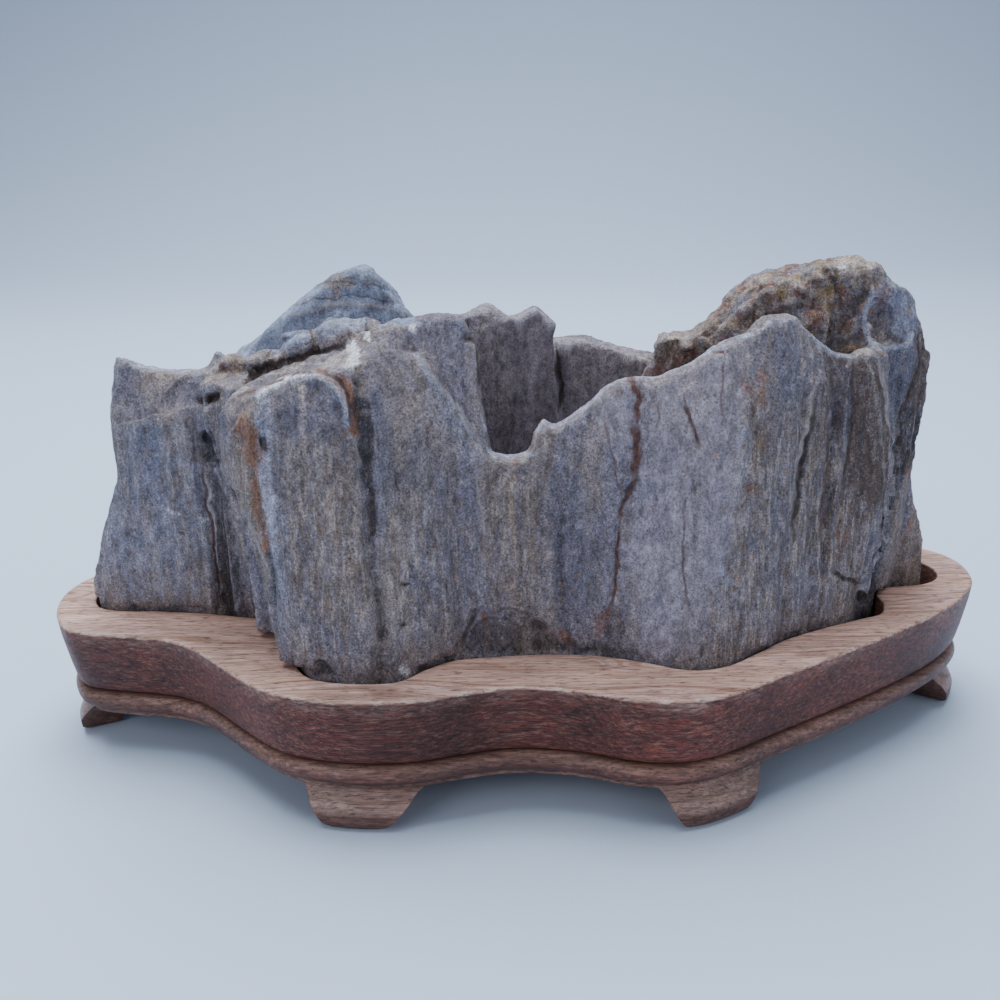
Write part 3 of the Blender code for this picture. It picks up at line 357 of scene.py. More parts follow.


# Marks by name: force, reach, depth, and the trace's x and y by turns. Lines are cracks, seams and
# thin pale edges, bands are stains, rims and streaks, and areas have another tone all over. Dark
# marks in hollows, grooves, slots and under ledges are painted shade, and pale rims, lit faces
# and the crust's tops carry painted highlights.
MARK_ROWS: dict[tuple[Shape, Pigment], dict[str, tuple[float, float, float, list[int]]]] = {
    (Shape.LINE, Pigment.RUST): {
        "main_crack_top": (1.0, 0.95, 0.7, [630, 376, 634, 389, 640, 397, 637, 410, 635, 422]),
        "main_crack_wide": (1.0, 1.25, 0.9, [635, 422, 637, 438, 637, 454, 635, 467, 635, 480]),
        "main_crack_bend": (1.0, 0.75, 0.7, [635, 480, 628, 493, 623, 505, 619, 521]),
        "main_crack_low": (1.0, 0.5, 0.6, [619, 521, 619, 537, 617, 553, 617, 569, 615, 588, 612, 601,
            609, 612]),
        "companion_crack": (0.6, 0.3, 0.2, [604, 410, 606, 426, 607, 442, 614, 462, 617, 478, 617, 497]),
        "short_red_line": (0.5, 0.3, 0.2, [658, 405, 659, 424]),
        "tan_strip_line": (0.6, 0.4, 0.2, [483, 530, 483, 553]),
        "third_crack": (0.6, 0.35, 0.3, [720, 353, 724, 361, 722, 381, 721, 400, 725, 419]),
        "third_crack_head": (0.8, 0.45, 0.3, [716, 353, 725, 352]),
        "column_red_line": (0.4, 0.5, 0.2, [372, 489, 372, 513, 374, 537]),
        "block_red_line": (0.9, 0.45, 0.5, [204, 474, 206, 497, 209, 513, 212, 529, 215, 545, 217, 569,
            219, 606]),
        "second_crack": (0.95, 0.6, 0.6, [684, 405, 689, 416, 693, 428, 698, 446]),
        "second_crack_head": (0.7, 0.25, 0.2, [684, 393, 684, 405]),
        "long_crack": (0.65, 0.35, 0.35, [685, 499, 684, 520, 684, 544, 683, 563, 685, 584, 686, 598,
            689, 609]),
        "ledge_seam": (1.0, 0.7, 0.5, [240, 396, 258, 387, 282, 377, 300, 372, 320, 370]),
        "strip_seam": (0.6, 0.35, 0.4, [834, 372, 832, 400, 829, 430, 826, 460, 823, 500, 818, 540]),
    },
    (Shape.LINE, Pigment.DIRT): {
        "back_seam": (0.8, 0.45, 0.5, [556, 335, 559, 362, 562, 383, 560, 407, 558, 419]),
        "upper_slab_edge": (0.9, 0.6, 0.4, [478, 343, 478, 370, 483, 397, 488, 419, 493, 450]),
        "column_dark_edge": (0.9, 0.5, 0.6, [318, 371, 330, 374, 340, 380, 346, 392, 349, 404, 351, 420]),
        # Painted shade in the slot under the ledge
        "ledge_slot_line": (0.9, 0.6, 0.9, [242, 379, 256, 372, 273, 364, 294, 358, 318, 351, 345, 345]),
        "boulder_split": (0.8, 0.45, 0.7, [307, 326, 311, 332, 312, 345]),
        "boulder_split_left": (0.8, 0.5, 0.8, [271, 345, 269, 353, 270, 362]),
        "boulder_step": (0.7, 0.45, 0.7, [365, 318, 368, 330, 360, 341]),
        "terrace_seam": (0.6, 0.4, 0.5, [262, 346, 290, 338, 318, 322, 345, 315, 372, 316, 400, 324]),
        # Painted shadow along the blade's left edge
        "blade_left_edge": (0.9, 0.6, 0.8, [854, 357, 852, 385, 853, 405, 850, 440, 845, 475, 841, 505]),
        "blade_seam": (0.6, 0.35, 0.15, [864, 372, 866, 400, 864, 425, 869, 450, 872, 490]),
        "end_seam": (0.9, 0.6, 0.8, [896, 425, 898, 445, 895, 470, 889, 500, 884, 530, 881, 556]),
        "knob_seam": (0.9, 0.5, 0.7, [918, 340, 919, 362, 914, 384, 905, 400, 897, 425]),
        "peak_crack_high": (0.5, 0.3, 0.2, [312, 288, 326, 281, 348, 280, 357, 286, 376, 285, 389, 291]),
        "peak_crack_low": (0.55, 0.3, 0.2, [292, 306, 316, 297, 335, 300, 351, 294, 370, 297, 392, 303]),
        "peak_crack_slant": (0.5, 0.3, 0.2, [340, 268, 352, 276, 350, 294]),
        "column_slit": (1.0, 0.6, 1.2, [261, 437, 263, 446, 265, 452]),
        "block_hole": (1.0, 1.0, 3.2, [200, 403, 209, 399, 219, 394]),
        "foot_arch": (0.9, 0.4, 0.4, [313, 663, 318, 659, 326, 663]),
        # Painted shadow under the tan ledge
        "tan_ledge": (0.6, 0.5, 0.4, [493, 612, 504, 608, 523, 611, 534, 615]),
        "left_foot_crack": (0.8, 0.6, 0.5, [478, 608, 470, 623, 462, 641]),
        "right_foot_crack": (0.7, 0.4, 0.4, [703, 647, 700, 660]),
        # Painted shade along the edge where the face turns away
        "dark_strip": (0.8, 0.8, 0.9, [818, 387, 815, 409, 811, 428, 806, 448, 800, 467, 797, 495, 794, 519,
            791, 543]),
        "overhang": (1.0, 0.7, 0.9, [834, 571, 841, 577, 849, 579, 856, 583]),
        "block_pit": (1.0, 0.45, 0.6, [180, 534, 182, 535]),
        "small_hole": (1.0, 0.4, 0.6, [403, 585, 408, 584]),
        "lower_small_hole": (1.0, 0.4, 0.6, [400, 625, 405, 625]),
    },
    (Shape.LINE, Pigment.CREAM): {
        "hump_edge": (0.7, 0.5, -0.3, [470, 336, 478, 333, 488, 326, 504, 321, 520, 314]),
        "slab_ridge": (0.6, 0.5, -0.4, [420, 352, 428, 366, 438, 384, 447, 396, 460, 410, 471, 427,
            481, 444]),
        "dotted_crack": (0.8, 0.3, 0.2, [122, 423, 138, 421, 155, 416, 168, 413, 187, 408, 200, 405]),
        "scar_rim": (0.6, 0.35, -0.2, [197, 367, 181, 377, 168, 386, 161, 395, 159, 406]),
        "shell_scar_rim": (0.4, 0.4, -0.2, [619, 478, 639, 477, 652, 478, 662, 491]),
        "scratch_hook": (0.7, 0.25, 0.0, [127, 521, 131, 528, 135, 528, 137, 520]),
        "left_ridge": (1.0, 0.4, -0.4, [206, 474, 209, 497, 213, 521, 216, 545, 219, 569]),
        "middle_ridge": (1.0, 0.4, -0.4, [224, 458, 226, 474, 229, 489, 235, 505, 239, 529, 240, 553,
            244, 578, 246, 600]),
        "right_ridge": (0.8, 0.4, -0.3, [240, 494, 248, 521, 256, 542, 264, 561, 271, 579]),
        "column_side_line": (0.6, 0.4, -0.2, [242, 415, 236, 424, 229, 434, 227, 451]),
        "facet_edge": (0.7, 0.45, -0.4, [814, 387, 811, 416, 803, 440, 797, 463, 795, 487, 792, 519,
            790, 543, 788, 561]),
        "tip_arc": (0.6, 0.4, -0.2, [866, 548, 859, 557, 851, 555]),
        "tip_edge": (0.9, 0.5, -0.2, [869, 588, 873, 578, 877, 568, 880, 561]),
        "peak_seam": (0.6, 0.6, -0.3, [288, 318, 309, 312, 327, 305, 345, 304, 372, 305, 399, 312]),
        "tan_strip_edge": (0.4, 0.35, 0.0, [475, 458, 478, 481, 481, 505, 484, 521, 483, 553, 482, 579]),
        "blade_ridge": (0.7, 0.5, -0.4, [879, 363, 886, 397, 889, 422, 891, 447, 891, 472]),
        "crust_ridge": (0.6, 0.8, -0.5, [781, 308, 795, 302, 808, 301]),
    },
    (Shape.BAND, Pigment.RUST): {
        "column_stain_top": (0.7, 1.3, 0.3, [321, 371, 332, 378, 340, 386, 346, 402]),
        "column_stain": (1.0, 1.3, 0.4, [341, 379, 349, 390, 353, 404, 356, 419, 356, 432]),
        "mass_red": (0.5, 1.6, 0.0, [811, 303, 813, 316]),
        "mass_red_low": (0.5, 1.6, 0.0, [838, 320, 834, 333]),
        "column_stain_foot": (0.6, 1.0, 0.0, [348, 429, 345, 436]),
        "side_stain": (0.85, 2.6, 0.0, [241, 424, 250, 436, 254, 458]),
        "side_stain_low": (0.7, 1.3, 0.0, [254, 458, 255, 489, 260, 521, 267, 553]),
        "screen_spot": (0.7, 1.0, 0.0, [436, 547, 438, 550]),
        "face_spot": (0.6, 1.2, 0.0, [715, 453, 717, 455]),
        "trail_spot": (0.8, 1.5, 0.2, [751, 488, 753, 491]),
        "face_patch_left": (0.42, 1.8, 0.0, [744, 382, 750, 390, 755, 402]),
        "face_patch_right": (0.5, 1.3, 0.2, [765, 377, 762, 385, 761, 400]),
        "face_patch_tan": (0.36, 2.2, 0.0, [764, 374, 762, 388, 758, 402]),
        "blade_rust": (0.8, 1.9, 0.2, [841, 530, 843, 549]),
        "notch_rust": (0.5, 1.0, 0.0, [515, 460, 514, 476]),
        "foot_rust": (0.6, 2.0, 0.0, [564, 635, 568, 638]),
        "crack_foot": (0.6, 2.2, 0.3, [609, 612, 603, 620, 599, 630]),
        "left_foot_spot": (0.5, 1.4, 0.0, [485, 616, 485, 626]),
        "buttress_rust": (0.8, 0.9, 0.3, [909, 472, 911, 491, 908, 511, 906, 529, 905, 542]),
    },
    (Shape.BAND, Pigment.BLUE): {
        "column_dark_left": (0.8, 2.2, 0.2, [287, 394, 286, 430, 283, 470]),
        "column_dark_middle": (0.8, 2.0, 0.2, [317, 388, 317, 425, 312, 465]),
        "column_dark_right": (0.8, 1.5, 0.2, [338, 402, 342, 430, 340, 462]),
        "slab_top_dark": (0.8, 1.2, 0.0, [418, 321, 436, 319, 457, 322]),
        "peak_dark_band": (0.4, 1.6, 0.1, [350, 297, 366, 293, 378, 302]),
    },
    (Shape.BAND, Pigment.CREAM): {
        "column_pale_middle": (0.8, 1.0, -0.1, [303, 388, 302, 430, 299, 480]),
        "blade_pale": (0.5, 0.8, -0.2, [868, 360, 875, 385, 880, 415, 884, 450, 884, 480]),
        "mass_fold": (0.5, 1.2, -0.7, [748, 283, 770, 277, 790, 282, 808, 292, 822, 300]),
        "wall_dot": (0.9, 0.7, 0.0, [577, 382, 579, 382]),
        "cream_patch": (0.5, 1.8, 0.0, [750, 350, 752, 360]),
        "arm_cream": (0.45, 1.6, 0.0, [427, 413, 431, 419]),
        "arm_cream_low": (0.35, 2.4, 0.0, [440, 430, 452, 436]),
        "column_pale_left": (0.5, 1.3, 0.0, [299, 502, 306, 515, 314, 529]),
        "column_pale_right": (0.5, 1.2, 0.0, [338, 481, 329, 497, 321, 507]),
        "column_pale_high": (0.35, 2.0, 0.0, [290, 446, 286, 462]),
        "column_pale_strip": (0.3, 1.5, 0.0, [322, 419, 329, 458]),
        "arm_streak": (0.45, 0.9, 0.0, [389, 512, 390, 592]),
        "arm_streak_low": (0.5, 1.0, 0.0, [405, 560, 405, 600]),
        "arm_streak_right": (0.4, 0.8, 0.0, [421, 556, 421, 590]),
        "rubble": (0.8, 1.4, -0.3, [214, 403, 207, 412]),
        "left_rubble": (0.5, 1.6, -0.2, [205, 372, 208, 388]),
        "blade_cream": (0.9, 1.2, -0.3, [858, 353, 870, 351]),
        "blade_pale_spot": (0.7, 1.0, 0.0, [847, 436, 846, 449]),
        "upper_streak": (0.4, 0.8, 0.0, [800, 345, 803, 373]),
        "upper_streak_right": (0.4, 0.8, 0.0, [810, 346, 812, 373]),
        # Painted highlights on the crust's tops
        "crust_top": (0.7, 2.4, 0.0, [840, 262, 862, 259, 876, 264]),
        "crust_left_top": (0.7, 1.8, 0.0, [666, 337, 674, 332, 684, 334]),
    },
    # Dark bands: painted shade in the crust's creases, the ledge slot and the top notch; the others darken
    # the blade and the right face
    (Shape.BAND, Pigment.DIRT): {
        "blade_dark": (0.6, 1.1, 0.3, [859, 430, 862, 450, 861, 478]),
        "mass_crease": (0.55, 1.1, 1.0, [826, 272, 836, 285, 840, 300, 833, 320, 830, 335]),
        "mass_crease_left": (0.45, 0.9, 0.8, [760, 285, 745, 298, 722, 318, 708, 336]),
        "ledge_slot_thin": (0.7, 0.8, 0.9, [273, 364, 294, 358, 318, 350]),
        "top_notch": (1.0, 1.2, 1.2, [469, 337, 476, 340]),
        "dark_band_right": (0.5, 1.2, 0.4, [832, 480, 829, 516, 825, 535]),
    },
    (Shape.BAND, Pigment.TAN): {
        "crust_gold": (0.8, 3.2, 0.0, [665, 352, 690, 343, 712, 325]),
        "crust_gold_high": (0.7, 3.0, 0.0, [820, 268, 850, 272, 870, 285]),
        "peak_tan": (0.9, 2.4, 0.2, [332, 283, 346, 281]),
        "peak_tan_low": (0.4, 1.8, 0.1, [331, 295, 338, 294]),
        "peak_olive": (0.5, 1.6, 0.0, [365, 282, 371, 282]),
        "top_gold": (0.7, 1.8, 0.0, [150, 370, 170, 373, 195, 369, 212, 363, 226, 359, 240, 352]),
    },
    (Shape.BAND, Pigment.BROWN): {
        "face_trail": (0.55, 1.0, 0.2, [754, 409, 755, 424, 755, 441, 755, 455, 755, 470]),
        "face_trail_low": (0.5, 0.9, 0.0, [748, 503, 745, 520]),
        "low_face_spot": (0.6, 1.6, 0.0, [777, 548, 781, 545]),
        "screen_brown_line": (0.6, 1.0, 0.3, [550, 432, 552, 450, 547, 465, 544, 481, 540, 497, 536, 513,
            540, 537]),
        "tan_brown_line": (0.5, 1.0, 0.3, [523, 489, 523, 513]),
        "hump_brown": (0.7, 1.2, 0.0, [480, 317, 484, 318]),
        "hump_line": (0.6, 0.8, 0.0, [475, 330, 480, 324]),
        "slab_brown": (0.35, 4.5, 0.0, [380, 358, 392, 385]),
        "block_edge_brown": (0.5, 2.2, 0.0, [190, 420, 195, 440, 201, 462]),
        "recess_notch": (0.7, 1.4, 0.4, [892, 339, 899, 341]),
        # Brown, with painted shade in the slot under the ledge
        "ledge_slot": (1.0, 1.3, 1.6, [244, 378, 256, 371, 273, 364]),
        "boulder_brown": (0.7, 1.1, 0.3, [308, 327, 313, 332, 315, 343]),
        "boulder_gap": (0.7, 1.6, 0.5, [371, 322, 373, 330, 364, 338]),
    },
    # Pale rims: rubbed edges, with painted highlights where light catches the rims
    (Shape.BAND, Pigment.WORN): {
        "horn_rim": (0.9, 1.3, 0.0, [115, 355, 141, 366, 162, 369, 179, 370, 195, 367]),
        "column_rim": (1.0, 1.35, -1.0, [260, 394, 270, 385, 284, 379, 300, 375, 316, 374, 326, 378,
            334, 384, 340, 394, 345, 406, 349, 422]),
        "screen_left_rim": (0.9, 0.8, 0.0, [418, 354, 426, 370, 436, 386, 445, 395, 458, 408, 469, 424,
            480, 445, 485, 449, 496, 455, 507, 457, 523, 455, 532, 453]),
        "screen_middle_rim": (0.9, 0.65, 0.0, [534, 432, 544, 418, 552, 426, 561, 424, 572, 414, 583, 410,
            593, 399, 603, 389, 615, 378, 628, 373]),
        "screen_right_rim": (0.9, 0.65, 0.0, [631, 374, 644, 378, 658, 376, 681, 366, 697, 358, 712, 350,
            722, 341, 732, 337, 752, 335, 757, 332, 771, 323, 783, 321, 797, 321, 805, 328, 811, 337,
            819, 344, 826, 344, 831, 353, 840, 356, 853, 357]),
        "recess_ring": (1.0, 0.9, -0.7, [873, 290, 868, 305, 865, 320, 866, 334, 873, 344, 886, 349,
            899, 349, 909, 343, 913, 333]),
        "end_top_rim": (0.6, 0.9, 0.0, [883, 281, 896, 280, 908, 288, 913, 298, 916, 315]),
        "face_blaze": (0.9, 1.0, 0.0, [719, 567, 724, 576, 732, 580, 738, 584]),
        "pale_column": (0.5, 1.9, 0.0, [744, 431, 744, 479]),
    },
    (Shape.BAND, Pigment.CHIP): {
        # A white highlight painted along the column's rim
        "column_rim_light": (0.62, 0.9, 0.0, [259, 396, 270, 385, 284, 379, 300, 375, 316, 374, 326, 378,
            334, 384, 340, 394, 345, 406]),
        "corner_chip": (1.0, 1.4, 0.0, [351, 344, 356, 355, 350, 365]),
        "slab_chip": (1.0, 1.0, 0.0, [412, 326, 414, 329]),
        "boulder_dot": (1.0, 1.0, -0.3, [365, 335, 367, 336]),
        "crust_dot": (1.0, 1.1, -0.5, [640, 367, 642, 367]),
        "top_chip": (0.7, 0.6, 0.0, [840, 267, 843, 266]),
        "foot_chip": (0.9, 1.3, 0.0, [403, 668, 405, 672]),
        "scratch_one": (0.7, 0.55, 0.0, [157, 509, 163, 507]),
        "scratch_two": (0.7, 0.55, 0.0, [168, 510, 173, 513]),
        "scratch_three": (0.7, 0.55, 0.0, [179, 513, 182, 518]),
        "scratch_four": (0.7, 0.55, 0.0, [192, 517, 195, 518]),
        "scratch_five": (0.7, 0.55, 0.0, [198, 520, 206, 521]),
    },
    (Shape.AREA, Pigment.BROWN): {
        "brown_blade": (1.0, 0.7, -0.3, [855, 355, 873, 352, 880, 366, 886, 397, 892, 430, 893, 470,
            884, 505, 866, 510, 848, 478, 852, 440, 854, 405, 852, 380]),
        "blade_foot": (0.6, 1.5, 0.0, [848, 470, 880, 495, 875, 520, 855, 560, 838, 565, 836, 530,
            842, 490]),
        "end_groove": (1.0, 0.8, 0.9, [835, 341, 846, 326, 860, 306, 870, 290, 862, 285, 845, 305, 830, 325,
            822, 338]),
        "oval_recess": (0.45, 0.5, 0.8, [880, 300, 888, 303, 893, 312, 893, 325, 890, 336, 882, 342,
            873, 339, 868, 330, 867, 315, 871, 304]),
        # Brown tone, with painted shade on the facet that turns away
        "turned_side": (0.65, 2.0, 0.0, [826, 350, 852, 358, 850, 420, 846, 450, 838, 500, 828, 560,
            800, 560, 803, 500, 815, 450, 822, 400]),
        "basin_shade": (0.25, 2.5, 0.0, [478, 340, 508, 332, 502, 365, 510, 390, 524, 408, 534, 432,
            532, 456, 490, 456, 484, 400]),
        "dark_knob": (1.0, 0.8, 0.0, [914, 384, 930, 382, 930, 430, 918, 474, 900, 470, 897, 430,
            905, 402]),
        "brown_knob": (0.8, 0.8, 0.0, [918, 326, 930, 340, 930, 384, 915, 384]),
    },
    (Shape.AREA, Pigment.BLUE): {
        "right_strip": (1.0, 0.8, 0.4, [829, 352, 851, 358, 849, 400, 846, 445, 838, 500, 829, 550,
            815, 560, 824, 480, 828, 410]),
        "column_face": (0.5, 0.6, 0.85, [267, 398, 277, 389, 292, 384, 310, 381, 323, 385, 332, 393,
            338, 408, 341, 430, 338, 462, 328, 500, 300, 515, 276, 500, 266, 460, 264, 420]),
        "blue_patch": (0.52, 1.1, 0.3, [551, 465, 568, 470, 573, 510, 583, 540, 588, 570, 586, 615,
            560, 625, 553, 590, 548, 540, 550, 500]),
        "column_blue": (0.45, 2.5, 0.0, [290, 385, 325, 382, 338, 395, 341, 420, 335, 450, 320, 440,
            305, 430, 290, 430]),
        "arm_blue": (0.4, 3.0, 0.0, [405, 430, 470, 470, 480, 560, 470, 600, 430, 560, 410, 520, 395, 480]),
        "face_blue": (0.45, 1.5, 0.0, [757, 335, 790, 323, 812, 345, 813, 387, 803, 440, 795, 490, 789, 545,
            770, 540, 765, 480, 768, 430, 766, 390, 750, 372]),
        "column_foot_blue": (0.5, 2.0, 0.0, [325, 590, 348, 600, 350, 655, 333, 655, 322, 630]),
        "tip_face": (0.5, 1.0, 0.0, [851, 560, 866, 548, 877, 520, 892, 500, 886, 540, 880, 561, 869, 588,
            857, 583]),
        "block_scar": (0.7, 0.8, 0.7, [197, 368, 203, 372, 202, 397, 190, 407, 160, 406, 162, 395, 168, 386,
            181, 377]),
        "column_top_dark": (0.8, 0.8, 0.0, [280, 389, 300, 384, 322, 386, 333, 397, 338, 418, 336, 440,
            300, 440, 278, 430]),
        "end_low": (0.8, 1.2, 0.0, [884, 358, 912, 352, 918, 370, 908, 408, 896, 425, 889, 395]),
        "shell_scar": (0.3, 1.5, 0.5, [620, 482, 639, 478, 652, 480, 662, 493, 655, 530, 640, 515,
            628, 500]),
    },
    # Painted sky light in pale blue-grey on the peak and the end face, and a cooler tone on the left block
    (Shape.AREA, Pigment.GREY): {
        "block_blue": (0.3, 3.0, 0.0, [120, 420, 200, 412, 212, 520, 214, 604, 110, 604, 124, 500]),
        "end_face": (0.38, 0.8, 0.0, [872, 290, 883, 281, 897, 280, 908, 288, 916, 315, 918, 336, 908, 349,
            884, 354, 858, 350, 838, 348, 851, 329, 863, 311]),
        "peak_face": (1.0, 1.5, 0.0, [246, 348, 300, 288, 345, 258, 376, 256, 398, 283, 418, 324, 380, 326,
            330, 335, 290, 352]),
    },
    (Shape.AREA, Pigment.TAN): {
        "column_side": (0.7, 1.5, 0.0, [236, 412, 256, 400, 257, 470, 258, 510, 266, 555, 272, 590,
            262, 575, 248, 540, 240, 500, 230, 460, 230, 430]),
        "buttress": (0.8, 1.2, 0.0, [893, 500, 905, 468, 917, 488, 926, 530, 924, 585, 888, 586]),
        "tan_strip": (0.5, 2.0, 0.0, [482, 462, 532, 458, 540, 500, 538, 560, 536, 606, 500, 612, 484, 600,
            482, 540]),
        "left_boulder": (0.5, 1.2, 0.0, [240, 374, 252, 354, 268, 350, 270, 362, 250, 372]),
        "pale_column_face": (0.5, 4.0, 0.0, [280, 440, 345, 450, 360, 520, 370, 600, 350, 640, 310, 620,
            285, 540]),
    },
    (Shape.AREA, Pigment.CREAM): {
        "ledge": (0.72, 0.8, 0.0, [226, 393, 250, 379, 295, 363, 345, 350, 353, 350, 352, 368, 335, 371,
            316, 369, 300, 371, 284, 375, 265, 383, 240, 397]),
        "terrace_boulders": (0.4, 1.5, 0.0, [296, 345, 303, 325, 330, 318, 372, 316, 400, 322, 372, 338,
            345, 346]),
        "chip_triangle": (0.8, 0.6, 0.0, [353, 431, 346, 440, 364, 444]),
        "tan_cream": (0.35, 1.8, 0.0, [515, 563, 539, 565, 538, 602, 516, 604]),
    },
    # Dark areas: painted shade in the grooves and hollows of the left block and the column, the foot's arch,
    # the end cavity and under the ledge; the two foot areas darken the stone near the stand
    (Shape.AREA, Pigment.DIRT): {
        "recess_band": (0.6, 0.8, 0.5, [207, 432, 222, 451, 226, 490, 238, 530, 243, 600, 222, 606,
            219, 570, 213, 521, 207, 474]),
        "upper_hollow": (0.85, 0.9, 1.3, [207, 431, 213, 438, 222, 451, 223, 466, 212, 462, 208, 447]),
        "lower_hollow": (0.85, 0.9, 1.3, [237, 489, 243, 510, 249, 530, 248, 560, 250, 600, 256, 612,
            246, 613, 243, 560, 239, 529]),
        "column_hollow": (0.6, 1.2, 0.9, [361, 400, 370, 405, 374, 433, 371, 458, 369, 480, 364, 490,
            363, 460, 363, 430]),
        "right_foot_dark": (0.55, 2.0, 0.4, [607, 612, 624, 606, 628, 640, 628, 655, 605, 655, 590, 650,
            598, 635]),
        "under_ledge": (0.45, 0.9, 1.3, [489, 614, 535, 617, 560, 640, 590, 648, 600, 655, 480, 655,
            462, 648, 472, 626]),
        "column_foot_dark": (0.35, 2.5, 0.0, [372, 645, 405, 640, 414, 672, 375, 682, 345, 680]),
        "foot_hollow": (0.8, 1.0, 1.0, [303, 668, 312, 664, 326, 665, 340, 674, 318, 680]),
        "end_cavity": (0.7, 1.2, 0.6, [896, 408, 921, 408, 915, 450, 905, 468, 893, 500, 885, 520,
            892, 460]),
    },
    # Pale faces and edges: rubbed wear, and painted light on the left block's narrow side and on the arm
    (Shape.AREA, Pigment.WORN): {
        "column_edge": (0.7, 0.7, 0.0, [259, 394, 268, 388, 274, 400, 274, 440, 274, 473, 276, 505,
            280, 569, 286, 600, 280, 600, 272, 569, 268, 545, 260, 505, 257, 473, 257, 441]),
        "block_side": (0.35, 1.2, 0.0, [118, 362, 118, 400, 122, 450, 127, 470, 123, 505, 120, 540,
            104, 606, 92, 606, 92, 575, 104, 530, 118, 470, 112, 420, 108, 375]),
        "blade_tip": (1.0, 0.7, 0.0, [857, 583, 869, 583, 864, 597]),
        "pale_foot": (0.35, 2.5, 0.0, [655, 590, 684, 600, 688, 660, 640, 655, 635, 620]),
        "arm_light": (0.35, 2.0, 0.0, [425, 375, 450, 402, 476, 445, 490, 460, 470, 462, 440, 430,
            425, 400]),
    },
    (Shape.AREA, Pigment.LILAC): {
        "pale_screen": (0.8, 4.0, 0.0, [592, 402, 628, 377, 660, 380, 712, 353, 724, 343, 752, 345,
            750, 372, 742, 400, 742, 440, 738, 500, 728, 560, 706, 610, 700, 662, 640, 655, 630, 600,
            626, 545, 642, 480, 600, 440]),
        "upper_slab_face": (0.45, 3.0, 0.0, [361, 345, 416, 323, 459, 325, 476, 345, 482, 397, 491, 446,
            480, 445, 458, 408, 426, 370, 412, 360, 400, 420, 380, 420, 374, 380]),
        # Painted light: the back wall's face made paler where the hollow shades it
        "back_face": (0.9, 2.5, 0.0, [470, 312, 505, 305, 545, 308, 560, 336, 640, 345, 650, 370, 628, 377,
            600, 398, 566, 418, 545, 418, 530, 400, 505, 350, 480, 340]),
    },
    (Shape.AREA, Pigment.STRIPES): {
        "striped_right": (1.0, 2.5, 0.0, [742, 440, 765, 425, 815, 400, 835, 440, 850, 490, 886, 530,
            886, 565, 868, 600, 760, 652, 705, 664, 712, 600, 736, 540]),
        "striped_column": (0.9, 2.5, 0.0, [280, 440, 342, 430, 352, 500, 372, 560, 372, 650, 300, 668,
            284, 600, 278, 520]),
        "striped_arm": (0.7, 3.0, 0.0, [385, 480, 440, 500, 478, 530, 480, 600, 460, 645, 420, 660,
            380, 640]),
        "striped_block": (0.5, 2.5, 0.0, [165, 430, 206, 440, 216, 604, 150, 604]),
        "striped_tan": (0.8, 2.0, 0.0, [486, 470, 535, 465, 545, 560, 535, 608, 490, 606]),
    },
}
MARKS: list[Mark] = [
    Mark(shape, pigment, force, reach, depth, list(zip(trace[::2], trace[1::2])))
    for (shape, pigment), rows in MARK_ROWS.items() for force, reach, depth, trace in rows.values()]
LINE_MARKS = [mark for mark in MARKS if mark.shape is Shape.LINE]
SOFT_MARKS = [mark for mark in MARKS if mark.shape is not Shape.LINE]

# Top line of the front wall round its low notch, x and z, and the end of the slab behind it, z and x
NOTCH_CREST: list[Point] = [
    (-21.6, 124), (-17.5, 117.3), (-14.5, 112.6), (-12.6, 107.2), (-9.5, 103.4), (-7.6, 102.4),
    (-3.3, 101.6), (3, 102.6), (3.4, 108.6), (6.2, 112.8), (9.5, 110), (12.6, 112.1), (16.3, 115),
    (21.6, 120)]
SLAB_END: list[Point] = [(103, -8.3), (118, -10.4), (132, -11.7), (137, -13.5), (142, -15)]

# Cracks on the stone's back, hidden in the photograph: points (x, z)
BACK_CRACKS: dict[str, list[Point]] = {
    "back_crack_one": [(-117, 92), (-115, 74), (-116, 58)],
    "back_crack_two": [(-57, 124), (-55, 100), (-58, 82), (-57, 70)],
    "back_crack_three": [(-4, 112), (-3, 96), (-5, 80)],
    "back_crack_four": [(59, 108), (60, 90), (58, 74), (60, 56)],
    "back_crack_five": [(106, 118), (108, 98), (106, 84)],
}


def smooth_step(values: np.ndarray, low: float, high: float) -> np.ndarray:
    """Step that is zero below low, one above high and smooth between."""
    t = np.clip((values - low) / (high - low), 0, 1)
    return t * t * (3 - 2 * t)


def plateau(values: np.ndarray, rise: Point, fall: Point) -> np.ndarray:
    """Step up over the first range and down again over the second."""
    return smooth_step(values, *rise) * (1 - smooth_step(values, *fall))


def curve_part(before: np.ndarray, here: np.ndarray, after: np.ndarray, second: np.ndarray,
               t: float) -> np.ndarray:
    """Place on a smooth curve a part t of the way from one of its points to the next."""
    return 0.5 * (2 * here + (after - before) * t + (2 * before - 5 * here + 4 * after - second) * t ** 2
                  + (3 * here - before - 3 * after + second) * t ** 3)


def closed_curve(corners: Sequence[Point], count: int) -> np.ndarray:
    """Even points along a smooth closed curve.

    Args:
        corners: Points that the curve runs through.
        count: How many points are wanted.

    Returns:
        Rows (x, y), the first of them at the first corner.
    """
    dense = []
    for i in range(len(corners)):
        four = [np.array(corners[(i + k - 1) % len(corners)], float) for k in range(4)]
        dense.extend(curve_part(*four, step / CURVE_STEPS) for step in range(CURVE_STEPS))
    curve = np.array(dense + [dense[0]])
    lengths = np.concatenate([[0], np.cumsum(np.linalg.norm(np.diff(curve, axis=0), axis=1))])
    wanted = np.arange(count) / count * lengths[-1]
    return np.stack([np.interp(wanted, lengths, curve[:, k]) for k in range(2)], axis=1)


def refine(loop: np.ndarray, factor: int) -> np.ndarray:
    """Closed loop with more points, on a smooth curve through its own.

    Args:
        loop: Rows (x, y).
        factor: How many points each one becomes.

    Returns:
        The finer loop, which starts at the same point.
    """
    before, after, second = (np.roll(loop, shift, axis=0) for shift in (1, -1, -2))
    rows = [curve_part(before, loop, after, second, step / factor) for step in range(factor)]
    return np.stack(rows, axis=1).reshape(-1, 2)


